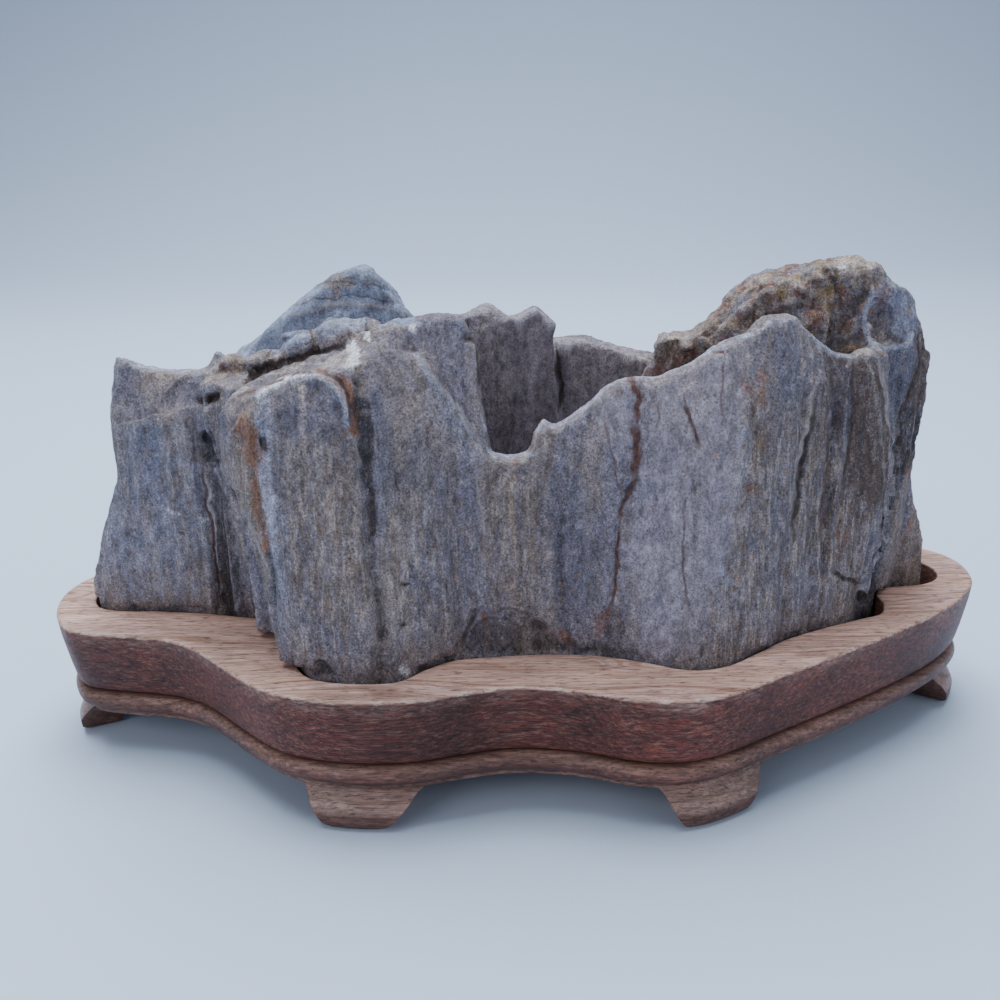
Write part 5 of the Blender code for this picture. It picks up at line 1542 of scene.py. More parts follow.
@dataclass(frozen=True)
class WoodFinish:
    """Oiled hardwood with long pores, its fibres along x.

    Attributes:
        name: Name of the material.
        light: Colour of the pale wood between rings.
        middle: Its main colour.
        dark: Colour of the rings.
        pore: Colour of the pores, and of the painted shade in recesses.
        streak: Colour of the sides' pale streaks.
        shine: Roughness of the bare surface.
        gloss: Strength of its reflection.
        least_wear_and_sheen: Least strength of the rubbed edges, and of the painted sheen on the base's
            upward slopes.
        edge: Colour of rubbed edges, and of the painted sheen on the base's upward slopes.
        side_tone: What the sides' colour is multiplied by: their deeper, redder wood, with painted shade
            that keeps them darker than the top.
    """

    name: str
    light: Colour = (0.600, 0.392, 0.338)
    middle: Colour = (0.440, 0.262, 0.190)
    dark: Colour = (0.200, 0.095, 0.066)
    pore: Colour = (0.050, 0.022, 0.018)
    streak: Colour = (0.280, 0.152, 0.102)
    shine: float = 0.44
    gloss: float = 0.28
    least_wear_and_sheen: float = 0.0
    edge: Colour = (0.600, 0.470, 0.400)
    side_tone: Colour = (0.240, 0.084, 0.066)

    def material(self) -> bpy.types.Material:
        """Make the wood's material.

        Returns:
            The material.
        """
        canvas = NodeCanvas(self.name)
        # Rings, which follow a slanting plane through the board
        flat = canvas.vector("DOT_PRODUCT", canvas.place, (0.006, 0.24, 0.46))
        wander = canvas.maths("MULTIPLY", canvas.noise((110.0, 20.0, 20.0), 2, 0.5), 9.0)
        ring_place = canvas.add("ShaderNodeCombineXYZ")
        canvas.feed(ring_place.inputs["X"], canvas.maths("ADD", flat, wander))
        rings = canvas.noise((1.0, 1.0, 1.0), 3, 0.6, 0.0, ring_place.outputs["Vector"])
        fine_rings = canvas.noise((0.22, 1.0, 1.0), 2, 0.6, 3.3, ring_place.outputs["Vector"])
        colour = canvas.mix(canvas.spread(rings, 0.36, 0.66), self.light, self.middle)
        colour = canvas.mix(canvas.spread(rings, 0.56, 0.74, 0.0, 0.55), colour, self.dark)
        colour = canvas.mix(canvas.spread(fine_rings, 0.54, 0.66, 0.0, 0.45), colour, self.dark)
        # Fibres and broad blotches
        fibres = canvas.noise((18.0, 0.8, 0.8), 5, 0.7, 2.2)
        colour = canvas.shade(colour, fibres, 0.52, 1.42)
        colour = canvas.shade(colour, canvas.noise((60.0, 16.0, 12.0), 3, 0.55, 8.3), 0.72, 1.24)
        # Sides: deeper colour with painted shade, grain, pale streaks and a rougher look
        side = canvas.attribute("side")
        colour = canvas.mix(side, colour, canvas.mix(1.0, colour, self.side_tone, "MULTIPLY"))
        grain = canvas.spots((7.0, 0.9, 0.9), 5, 0.72, 12.4, 0.46, 0.62, 0.55)
        grain = canvas.maths("MAXIMUM", grain, canvas.spread(rings, 0.50, 0.62, 0.0, 0.45))
        colour = canvas.mix(canvas.maths("MULTIPLY", grain, side), colour, self.pore)
        streak = canvas.spots((9.0, 0.7, 0.7), 5, 0.78, 17.4, 0.50, 0.60, 0.42)
        colour = canvas.mix(canvas.maths("MULTIPLY", streak, side), colour, self.streak)
        rough_side = canvas.shade(colour, canvas.noise((4.2, 1.2, 1.2), 4, 0.8, 27.4), 0.22, 1.78)
        rough_side = canvas.shade(rough_side, canvas.noise((40.0, 16.0, 24.0), 2, 0.5, 33.1), 0.60, 1.40)
        colour = canvas.mix(side, colour, rough_side)
        # Pores, painted shade in recesses, and rubbed edges with painted sheen
        dashes = canvas.spots((4.2, 0.40, 0.40), 3, 0.6, 6.1, 0.56, 0.66)
        colour = canvas.mix(canvas.maths("MULTIPLY", dashes, 0.72), colour, self.pore)
        # Painted shade: the neck, the bead's underside, faces that look down and the opening's wall take the
        # pore colour
        colour = canvas.mix(canvas.maths("MULTIPLY", canvas.attribute("recess"), 0.75), colour, self.pore)
        # Rubbed edges on the top board; on the base the same mix paints sheen on upward slopes
        rubbed = canvas.noise((4.5, 2.2, 1.2), 4, 0.7, 4.4)
        rubbed = canvas.spread(rubbed, 0.50, 0.64, self.least_wear_and_sheen)
        rubbed = canvas.maths("MULTIPLY", canvas.attribute("edge"), rubbed)
        colour = canvas.mix(canvas.maths("MULTIPLY", rubbed, 0.7), colour, self.edge)
        height = canvas.maths("MULTIPLY", dashes, -0.55)
        height = canvas.maths("ADD", height, canvas.maths("MULTIPLY", fibres, 0.5))
        roughness = canvas.spread(fibres, 0.3, 0.7, self.shine - 0.06, self.shine + 0.14, False)
        canvas.shader.inputs["Specular IOR Level"].default_value = self.gloss
        return canvas.finish(colour, roughness, height, 0.18)


@dataclass(frozen=True)
class FloorFinish:
    """Plain pale studio paper.

    Attributes:
        colour: Its colour.
        shine: Its roughness.
    """

    colour: Colour = (0.56, 0.67, 0.84)
    shine: float = 0.85

    def material(self) -> bpy.types.Material:
        """Make the floor's material.

        Returns:
            The material.
        """
        canvas = NodeCanvas("studio_paper")
        grain = canvas.noise((2.0, 2.0, 2.0), 2, 0.5)
        roughness = canvas.spread(grain, 0.3, 0.7, self.shine, self.shine + 0.02, False)
        return canvas.finish(canvas.shade(self.colour, grain, 0.995, 1.005), roughness, grain, 0.01)


@dataclass
class Stone:
    """The stone: upright leaning layers fused into one weathered body.

    Attributes:
        viewpoint: Where the photograph was taken from.
        finish: The stone's finish.
        grain: Side of the cells that the layers are fused with, in mm.
        triangles: How many triangles the piece may have.
        clearance: Gap between the stone and the opening, in mm.
        seat_height: Height under which the stone is kept inside the opening.
        seat_points: Points round the opening that it is kept inside.
        crest_drop: How far a layer's shoulders lie under its crest.
        middle_depth: Grooves deeper than this y belong to the back.
        wear: Shares that the layers' meetings are smoothed by, one after the other.
        fold_slant: Slant of the crust's folds, in degrees.
        flutes: Broad upright flutes.
        folds: Slanting folds of the crust.
        fine_flutes: Fine upright flutes.
        dents: Dents of the flatter places.
        pits: Small pits all over.
        splits: Pattern whose middle lines are upright splits.
        split_places: Where the splits lie.
        crumbs: Crumbs of the crust.
        blocks: Broken blocks of the crust and the ledges.
        block_drift: What the blocks are shaken by.
        chips: Smaller blocks on them.
        ragged: How far the crust's edge wanders on the back.
        back_drift: What the cracks of the back are shaken by, along x and z.
        patchy: Where the back is striped.
        least_cut: Least half width of a cut line, in mm.
        back_crack_reach: Half width of the back's cracks, in mm.
        farthest: Farthest distance to a line that is stored, in half widths.
    """

    viewpoint: Viewpoint
    finish: StoneFinish = field(default_factory=StoneFinish)
    grain: float = 0.95
    triangles: int = 190000
    clearance: float = 1.0
    seat_height: float = STAND_TOP + 2.0
    seat_points: int = 200
    crest_drop: float = 1.0
    middle_depth: float = 12.0
    wear: tuple[float, ...] = (0.5, 0.5, -0.4, 0.45)
    fold_slant: float = 38.0
    flutes: Swell = Swell(1.2, 7, 70, 3)
    folds: Swell = Swell(1.3, 7.5, 26, 2, 19.0)
    fine_flutes: Swell = Swell(0.34, 2.6, 34, 3, 4.0)
    dents: Swell = Swell(0.30, 4.5, 6.5, 3, 8.0)
    pits: Swell = Swell(0.10, 2.2, 2.6, 2, 12.0)
    splits: Swell = Swell(1.0, 6.5, 95, 2, 21.0)
    split_places: Swell = Swell(1.0, 22, 40, 2, 33.0)
    crumbs: Swell = Swell(0.22, 3.0, 2.4, 3, 27.0)
    blocks: Blocks = Blocks(7.0, 0.40, 0.35, 0.12)
    block_drift: Swell = Swell(2.5, 6, 6, 2, 17.0)
    chips: Blocks = Blocks(3.4, 0.24, 0.18, 0.16)
    ragged: Swell = Swell(20, 16, 22, 4, 61.0)
    back_drift: tuple[Swell, Swell] = (Swell(1.6, 7.0, 14.0, 3, 71.0), Swell(1.6, 7.0, 14.0, 3, 83.0))
    patchy: Swell = Swell(1.0, 30, 50, 2, 95.0)
    least_cut: float = 0.75
    back_crack_reach: float = 0.5
    farthest: float = 9.0

    def build(self) -> bpy.types.Object:
        """Build the stone and dress it.

        Returns:
            The piece.
        """
        mesh = self.fused(self.rough_layers())
        write_shape(mesh, self.notched(read_shape(mesh)[0]))
        mesh = self.fused(mesh)
        # Round the layers' sharp meetings without thinning their crests
        points, links = read_shape(mesh)[0], Neighbours(mesh)
        for share in self.wear:
            points = links.smooth(points, 1, share)
        write_shape(mesh, points)
        # Relief all over, and then the marks and the bed
        points, normals = read_shape(mesh)
        above_bed = smooth_step(points[:, 2], BED, BED + 12)
        write_shape(mesh, points + normals * (self.relief(points, normals) * above_bed)[:, None])
        points, normals = read_shape(mesh)
        write_shape(mesh, self.seated(points - normals * self.cuts(points, normals)[:, None]))
        piece = add_object("stone", mesh)
        self.thin_out(piece)
        self.dress(piece)
        return piece

    def rough_layers(self) -> bpy.types.Mesh:
        """Put the layers and lumps together.

        Returns:
            Their mesh.
        """
        mesh = bmesh.new()
        for stations in STONE_LAYERS.values():
            self.loft_layer(mesh, stations)
        for centre, radii in STONE_LUMPS:
            created = bmesh.ops.create_icosphere(mesh, subdivisions=2, radius=1)
            for vertex in created["verts"]:
                blunt = [math.copysign(abs(v) ** 0.72, v) for v in vertex.co]
                place = Vector(c + 0.95 * r * v for c, r, v in zip(centre, radii, blunt))
                chipped = 1 + 0.32 * noise.noise(place / 2.3)
                vertex.co = (Vector(centre) + (place - Vector(centre)) * chipped) * MM
        bmesh.ops.recalc_face_normals(mesh, faces=mesh.faces)
        rough = bpy.data.meshes.new("rough_stone")
        mesh.to_mesh(rough)
        mesh.free()
        return rough

    def loft_layer(self, mesh: bmesh.types.BMesh, stations: list[Station]) -> None:
        """Add one upright layer as a closed slab through its stations.

        Args:
            mesh: The mesh to add it to.
            stations: The layer's stations from end to end.
        """
        last = len(stations) - 1
        levels = min(len(station) for station in stations)
        lines = [self.resampled(station, levels) for station in stations]
        rings = []
        for i, line in enumerate(lines):
            before, after = lines[max(i - 1, 0)], lines[min(i + 1, last)]
            near, far = [], []
            for level, (x, y, z, half) in enumerate(line):
                along = Vector(after[level][:2]) - Vector(before[level][:2])
                across = Vector((along.y, -along.x)).normalized() * half
                drop = self.crest_drop if level == levels - 1 else 0.0
                near.append((x + across.x, y + across.y, z - drop))
                far.append((x - across.x, y - across.y, z - drop))
            section = near + [line[-1][:3]] + far[::-1]
            rings.append([mesh.verts.new(Vector(point) * MM) for point in section])
        Ring.bridge(mesh, rings)
        for ring in (rings[0], rings[-1]):
            near, crest, far = ring[:levels], ring[levels], ring[:levels:-1]
            for i in range(levels - 1):
                mesh.faces.new((near[i], near[i + 1], far[i + 1], far[i]))
            mesh.faces.new((near[-1], crest, far[-1]))

    @staticmethod
    def resampled(station: Station, levels: int) -> list[tuple[float, ...]]:
        """Give a station another number of points.

        Args:
            station: The station's line.
            levels: How many points it shall have.

        Returns:
            The line with its foot and crest kept.
        """
        if len(station) == levels:
            return list(station)
        wanted = np.linspace(0, len(station) - 1, levels)
        columns = [np.interp(wanted, np.arange(len(station)), column) for column in zip(*station)]
        return list(zip(*columns))

    def fused(self, rough: bpy.types.Mesh) -> bpy.types.Mesh:
        """Fuse closed bodies into one of even cells.

        Args:
            rough: The bodies' mesh, which is used up.

        Returns:
            The body's mesh.
        """
        holder = add_object("rough_stone", rough)
        fuse = holder.modifiers.new("fuse", "REMESH")
        fuse.mode = "VOXEL"
        fuse.voxel_size = self.grain * MM
        body = baked(holder)
        body.name = "stone"
        bpy.data.objects.remove(holder)
        bpy.data.meshes.remove(rough)
        return body

    def notched(self, points: np.ndarray) -> np.ndarray:
        """Cut the front wall down to its top line round the low notch.

        Args:
            points: Rows of places.

        Returns:
            The places, none of them above the line.
        """
        x, y, z = points.T
        line, end = np.array(NOTCH_CREST), np.array(SLAB_END)
        crest = np.interp(x, line[:, 0], line[:, 1]) - 0.05 * np.maximum(np.abs(y + 27) - 2, 0) ** 2
        beside = x > np.interp(z, end[:, 0], end[:, 1])
        wall = (x > line[0, 0]) & (x < line[-1, 0]) & (y > -38) & (y < -15) & (beside | (y < -26.3))
        return np.stack([x, y, np.where(wall, np.minimum(z, crest), z)], axis=1)

    def crust_weight(self, points: np.ndarray) -> np.ndarray:
        """Say how much each place belongs to the rugged crust.

        Args:
            points: Rows of places.

        Returns:
            One weight from 0 to 1 for each place.
        """
        x, y, z = points.T
        mass = plateau(x, (34, 40), (104, 110)) * smooth_step(y, -14, -9) * smooth_step(z, 98, 112)
        ragged = self.ragged.over(points)
        rear = smooth_step(y, 8, 14) * smooth_step(z + ragged, 112, 130) * smooth_step(x + ragged, 30, 50)
        saddle = plateau(x, (-108, -100), (-80, -74)) * smooth_step(z, 113, 119) * smooth_step(y, -9, -4)
        wall = plateau(x, (8, 14), (44, 50)) * smooth_step(z, 117, 121) * smooth_step(y, 18, 22)
        return np.maximum.reduce([mass, rear, 0.7 * saddle, 0.4 * wall])

    @staticmethod
    def rear_weight(points: np.ndarray, normals: np.ndarray) -> np.ndarray:
        """Say how much each place belongs to the back."""
        return smooth_step(normals[:, 1], 0.0, 0.4) * smooth_step(points[:, 1], 12, 16)

    def rear_places(self, points: np.ndarray) -> np.ndarray:
        """Lay places on the back's plane (x, z), shaken so that straight cracks run crooked."""
        drift = [swell.over(points) for swell in self.back_drift]
        return points[:, [0, 2]] + np.stack(drift, axis=1)

    def slanting_folds(self, points: np.ndarray) -> np.ndarray:
        """Work out the broad slanting folds of the crust.

        Args:
            points: Rows of places.

        Returns:
            One height for each place, in mm.
        """
        slant = math.radians(self.fold_slant)
        x, y, z = points.T
        along = x * math.cos(slant) + z * math.sin(slant)
        across = z * math.cos(slant) - x * math.sin(slant)
        return self.folds.over(np.stack([across, y, along], axis=1))

    def relief(self, points: np.ndarray, normals: np.ndarray) -> np.ndarray:
        """Work out the stone's flutes, splits, crust and grooves.

        Args:
            points: Rows of places.
            normals: Rows of normals.

        Returns:
            How far each place moves out along its normal, in mm.
        """
        x, y, z = points.T
        upright = 1 - np.abs(normals[:, 2])
        height = self.flutes.over(points) * upright
        height += self.slanting_folds(points) * (smooth_step(z, 112, 128) * smooth_step(y, -12, -4))
        height += self.fine_flutes.over(points) * upright
        height += self.dents.over(points) * (1 - 0.6 * upright)
        height += self.pits.over(points)
        split = 1 - smooth_step(np.abs(self.splits.over(points)), 0.0, 0.10)
        height -= 0.75 * split * smooth_step(self.split_places.over(points), -0.05, 0.35) * upright
        # Broken blocks of the crust, the ledges' tops, the terrace and the right end
        crust = self.crust_weight(points)
        tops = smooth_step(normals[:, 2], 0.1, 0.6) * smooth_step(z, 112, 118)
        terrace = smooth_step(z, 122, 125) * smooth_step(-x, 24, 30) * plateau(y, (-26, -22), (0, 4))
        right_end = smooth_step(x, 119, 121) * smooth_step(z, 88, 94)
        broken = np.maximum.reduce([crust, 0.6 * tops, 1.3 * terrace, right_end])
        height += broken * self.blocks.over(points + self.block_drift.over(points)[:, None])
        peak = smooth_step(z, 124, 130) * smooth_step(-x, 26, 32)
        broken = np.maximum(broken, 0.6 * peak * smooth_step(y, -2, 4))
        height += broken * self.chips.over(points)
        height += crust * self.crumbs.over(points)
        for line, depth_position, radius, depth in STONE_GROOVES.values():
            side = 1 if depth_position > self.middle_depth else -1
            facing = smooth_step(side * normals[:, 1], -0.2, 0.3)
            near = smooth_step(14 - np.abs(y - depth_position), 0, 4)
            distance = np.abs(trace_field(points[:, [0, 2]], line)[0])
            height -= depth * near * facing * (1 - smooth_step(distance, 0.25 * radius, radius))
        return height

    def cuts(self, points: np.ndarray, normals: np.ndarray) -> np.ndarray:
        """Work out how deep the traced marks are cut.

        Args:
            points: Rows of places.
            normals: Rows of normals.

        Returns:
            How far each place moves in along its normal, in mm.
        """
        view = FrontView(self.viewpoint, points, normals)
        depth = np.zeros(len(points))
        for mark in LINE_MARKS:
            offset, hold = view.line(mark)
            width = max(mark.reach, self.least_cut)
            distance = np.abs(offset) * mark.reach
            depth += mark.depth * hold * (1 - smooth_step(distance, 0.35 * width, 1.9 * width))
        for mark in SOFT_MARKS:
            if mark.depth:
                depth += mark.depth * view.soft(mark)
        rear, flat = self.rear_weight(points, normals), self.rear_places(points)
        for line in BACK_CRACKS.values():
            distance = np.abs(trace_field(flat, line)[0])
            depth += 0.7 * rear * (1 - smooth_step(distance, 0.2, 1.2))
        return depth

    def seated(self, points: np.ndarray) -> np.ndarray:
        """Bring the foot of the stone inside the opening and flatten its bed.

        Args:
            points: Rows of places.

        Returns:
            The seated places.
        """
        opening = inset(closed_curve(OPENING_OUTLINE, self.seat_points), self.clearance)
        seated = points.copy()
        low = seated[:, 2] < self.seat_height
        xy = seated[low, :2]
        nearest = np.zeros_like(xy)
        best = np.full(len(xy), np.inf)
        for a, b in zip(opening, np.roll(opening, -1, axis=0)):
            t = np.clip((xy - a) @ (b - a) / ((b - a) @ (b - a)), 0, 1)
            foot = a + t[:, None] * (b - a)
            distance = np.linalg.norm(xy - foot, axis=1)
            closer = distance < best
            best = np.where(closer, distance, best)
            nearest[closer] = foot[closer]
        outside = area_field(xy, opening) < 0
        xy[outside] = nearest[outside]
        seated[low, :2] = xy
        seated[:, 2] = np.where(seated[:, 2] < BED + 1.0, BED, seated[:, 2])
        return seated

    def thin_out(self, piece: bpy.types.Object) -> None:
        """Bring the piece under its number of triangles.

        Args:
            piece: The stone.
        """
        count = triangle_count(piece.data)
        log.info("stone: %d triangles before thinning", count)
        thin = piece.modifiers.new("thin", "DECIMATE")
        thin.ratio = min(1.0, self.triangles / count)
        thin.use_collapse_triangulate = True
        thinned = baked(piece)
        piece.modifiers.clear()
        old = piece.data
        piece.data = thinned
        bpy.data.meshes.remove(old)
        thinned.name = "stone"
        thinned.shade_smooth()

    def dress(self, piece: bpy.types.Object) -> None:
        """Store the pigments on the stone and give it its material.

        Args:
            piece: The stone.
        """
        mesh = piece.data
        points, normals = read_shape(mesh)
        view, links = FrontView(self.viewpoint, points, normals), Neighbours(mesh)
        amounts = {pigment: np.zeros(len(points)) for pigment in Pigment}

        def lay(pigment: Pigment, values: np.ndarray) -> None:
            """Bring a pigment up to these values."""
            amounts[pigment] = np.maximum(amounts[pigment], values)

        for mark in SOFT_MARKS:
            lay(mark.pigment, mark.force * view.soft(mark))
        # Places that the traces don't reach: the back, the peak with painted sky light, and the hollow's
        # back wall, painted lighter
        patchy = smooth_step(self.patchy.over(points), -0.15, 0.35)
        lay(Pigment.STRIPES, 0.8 * self.rear_weight(points, normals) * patchy)
        x, y, z = points.T
        peak = smooth_step(z, 116, 121) * smooth_step(-x, 16, 24) * smooth_step(y, 1, 5)
        lay(Pigment.GREY, 0.95 * peak * smooth_step(x, -104, -94))
        # Painted light on the front face of the wall behind the hollow
        wall = plateau(x, (-30, -26), (40, 52)) * smooth_step(y, 10, 14) * smooth_step(z, 74, 84)
        lay(Pigment.LILAC, wall * smooth_step(-normals[:, 1], 0.0, 0.4))
        # Rubbed rims with painted highlights on convex edges, grime with painted shade in hollows,
        # and painted highlights on the crust's bumps, found from how the surface bulges
        bulge = ((points - links.smooth(points, 6)) * normals).sum(axis=1)
        swell = ((points - links.smooth(points, 40)) * normals).sum(axis=1)
        bulge, swell = links.smooth(bulge, 2), links.smooth(swell, 3)
        crust = self.crust_weight(points) * (1 - amounts[Pigment.BLUE])
        # Pale convex edges: rubbed wear and painted highlight
        worn = 0.34 * smooth_step(bulge, 0.14, 0.34) + 0.14 * smooth_step(swell, 1.2, 2.6)
        lay(Pigment.WORN, worn * (1 - 0.7 * crust))
        # Darker hollows: grime and painted shade
        dirt = 0.7 * smooth_step(-bulge, 0.08, 0.36) + 0.45 * smooth_step(-swell, 0.6, 2.4)
        dirt = dirt * (1 - 0.7 * amounts[Pigment.BROWN]) * (1 - 0.4 * crust)
        lay(Pigment.DIRT, dirt * (1 - 0.8 * amounts[Pigment.GREY]))
        # Painted highlights on the crust's bumps
        lay(Pigment.CREAM, 0.6 * crust * smooth_step(bulge, 0.12, 0.36))
        for pigment, values in amounts.items():
            set_attribute(mesh, pigment.value, values)
        set_attribute(mesh, "crust", crust)
        for pigment in self.finish.crack_tones:
            offset, hold = self.lines(pigment, points, normals, view)
            set_attribute(mesh, f"{pigment.value}_offset", offset)
            set_attribute(mesh, f"{pigment.value}_hold", hold)
        mesh.materials.clear()
        mesh.materials.append(self.finish.material())

    def lines(self, pigment: Pigment, points: np.ndarray, normals: np.ndarray,
              view: FrontView) -> tuple[np.ndarray, np.ndarray]:
        """Gather all fine lines of one pigment.

        Args:
            pigment: The pigment.
            points: Rows of places.
            normals: Rows of normals.
            view: How the places lie in the photograph.

        Returns:
            For each place its signed distance to the line that holds it most, in half widths,
            and how strongly that line holds it.
        """
        found = []
        for mark in LINE_MARKS:
            if mark.pigment is pigment:
                distance, held = view.line(mark)
                found.append((distance, held * mark.force))
        if pigment is Pigment.DIRT:
            rear, flat = self.rear_weight(points, normals), self.rear_places(points)
            for line in BACK_CRACKS.values():
                distance, past, _ = trace_field(flat, line)
                held = 0.5 * rear * line_hold(distance, past)
                found.append((distance / self.back_crack_reach, held))
        offset, hold = np.full(len(points), self.farthest), np.zeros(len(points))
        for distance, held in found:
            stronger = held > hold
            offset, hold = np.where(stronger, distance, offset), np.where(stronger, held, hold)
        return np.clip(offset, -self.farthest, self.farthest), hold


class Ring:
    """Helpers that join rings of vertices in a mesh."""

    @staticmethod
    def add(mesh: bmesh.types.BMesh, loop: np.ndarray, heights: np.ndarray | float) -> list[Vertex]:
        """Add a ring of vertices along a loop (x, y) in mm, at one height or at one for each point."""
        levels = np.broadcast_to(heights, (len(loop),))
        return [mesh.verts.new((x * MM, y * MM, z * MM)) for (x, y), z in zip(loop, levels)]

    @staticmethod
    def bridge(mesh: bmesh.types.BMesh, rings: list[list[Vertex]]) -> None:
        """Join each ring to the next one of the same count.

        Args:
            mesh: The mesh.
            rings: The rings in order.
        """
        for ring, following in zip(rings, rings[1:]):
            for i in range(len(ring)):
                j = (i + 1) % len(ring)
                mesh.faces.new((ring[i], following[i], following[j], ring[j]))

    @staticmethod
    def cap(mesh: bmesh.types.BMesh, *rings: list[Vertex]) -> None:
        """Fill the flat face bounded by rings.

        Args:
            mesh: The mesh.
            rings: One outer ring, and any inner ones.
        """
        edges = []
        for ring in rings:
            for first, second in zip(ring, ring[1:] + ring[:1]):
                edges.append(mesh.edges.get((first, second)) or mesh.edges.new((first, second)))
        bmesh.ops.triangle_fill(mesh, edges=edges, use_beauty=True, use_dissolve=False)


@dataclass
class StandBoard:
    """What the stand's two boards share: a lobed outline and a profile swept along it.

    Attributes:
        finish: The board's wood.
        coarse: Points round the outline that insets are worked out with.
        factor: How many fine points each of them becomes.
    """

    finish: WoodFinish
    coarse: int = 240
    factor: int = 4

    def loop(self, distance: float) -> np.ndarray:
        """Give the outline moved inward by a distance, with all its fine points."""
        return refine(inset(closed_curve(STAND_OUTLINE, self.coarse), distance), self.factor)

    def finish_piece(self, mesh: bmesh.types.BMesh, name: str, sharp: float) -> bpy.types.Object:
        """Turn the mesh into a named piece.

        Args:
            mesh: The mesh.
            name: Name of the piece.
            sharp: Edges over this angle in degrees stay crisp.

        Returns:
            The piece.
        """
        bmesh.ops.recalc_face_normals(mesh, faces=mesh.faces)
        data = bpy.data.meshes.new(name)
        mesh.to_mesh(data)
        mesh.free()
        data.shade_smooth()
        data.set_sharp_from_angle(angle=math.radians(sharp))
        write_shape(data, read_shape(data)[0])
        return add_object(name, data)

    def coat(self, mesh: bpy.types.Mesh, **amounts: np.ndarray) -> None:
        """Give the board its wood, and its vertices the numbers that the wood reads.

        Args:
            mesh: The board's mesh.
            amounts: How much each vertex is a side, an edge and a recess, from 0 to 1; on sides and in
                recesses this paints shade, and on the base's upward slopes the edge paints sheen.
        """
        for name, values in amounts.items():
            set_attribute(mesh, name, values)
        mesh.materials.append(self.finish.material())


@dataclass
class StandRim(StandBoard):
    """The upper board, with its opening cut for the stone.

    Attributes:
        top_round: Radius of its top edge, in mm.
        round_steps: Steps of the rounding.
        round_room: How far inward the rounding is worked out.
        unevenness: How much the rounding grows and shrinks along the edge.
        side: Its side from top to bottom: inset from the outline and height.
        lip: The opening's edge: inset from its outline, and drop under the top.
        opening_points: Points round the opening.
        edge_points: Points round an outline that the rubbed edges are found with.
    """

    top_round: float = 1.0
    round_steps: int = 7
    round_room: float = 2.4
    unevenness: float = 0.35
    side: list[Point] = field(default_factory=lambda: [
        (0.35, 38.5), (1.0, 34.0), (1.75, 29.0), (2.5, 24.6), (3.0, 23.0), (3.6, 22.1), (4.4, 21.6)])
    lip: tuple[Point, ...] = ((-1.6, 0.0), (-0.6, 0.0), (-0.25, 0.12), (-0.05, 0.35), (0.0, 0.8))
    opening_points: int = 640
    edge_points: int = 160

    def build(self) -> bpy.types.Object:
        """Build the upper board and dress it.

        Returns:
            The piece.
        """
        mesh = bmesh.new()
        outline, inner = self.loop(0.0), self.loop(self.round_room)
        along = np.array([noise.noise(Vector((x, y, 0)) / 11) for x, y in outline])
        radius = self.top_round * (1 + self.unevenness * along)
        rings = [Ring.add(mesh, self.loop(self.round_room + 0.2), STAND_TOP)]
        for step in range(self.round_steps + 1):
            angle = math.pi / 2 * step / self.round_steps
            share = (radius * (1 - math.sin(angle)) / self.round_room)[:, None]
            place = outline * (1 - share) + inner * share
            rings.append(Ring.add(mesh, place, STAND_TOP - radius * (1 - math.cos(angle))))
        rings.extend(Ring.add(mesh, self.loop(distance), height) for distance, height in self.side)
        Ring.bridge(mesh, rings)
        opening = closed_curve(OPENING_OUTLINE, self.opening_points)
        lips = [Ring.add(mesh, inset(opening, distance), STAND_TOP - drop) for distance, drop in self.lip]
        lips.append(Ring.add(mesh, opening, RIM_BOTTOM))
        Ring.bridge(mesh, lips)
        Ring.cap(mesh, rings[0], lips[0])
        Ring.cap(mesh, rings[-1], lips[-1])
        piece = self.finish_piece(mesh, "stand_top_board", 50)
        self.dress(piece)
        return piece

    def dress(self, piece: bpy.types.Object) -> None:
        """Mark the board's sides, darkened partly as painted shade, its rubbed edges, and painted shade
        along its lower edge and inside the opening, and give it its wood.

        Args:
            piece: The board.
        """
        points, _ = read_shape(piece.data)
        z, flat = points[:, 2], points[:, :2]
        rubbed = 1 - smooth_step(area_field(flat, closed_curve(STAND_OUTLINE, self.edge_points)), 0.4, 1.6)
        # Painted shade on the opening's inner wall below the lip and along the board's lower edge
        hole = area_field(flat, closed_curve(OPENING_OUTLINE, self.edge_points))
        hole = smooth_step(hole, -0.5, 0.5) * (1 - smooth_step(z, 38, 43.6))
        recess = np.maximum(1 - smooth_step(z, RIM_BOTTOM, RIM_BOTTOM + 1.4), hole)
        self.coat(piece.data, side=1 - smooth_step(z, STAND_TOP - 1.3, STAND_TOP - 0.2),
                  edge=rubbed * smooth_step(z, STAND_TOP - 1.3, STAND_TOP - 0.5), recess=recess)


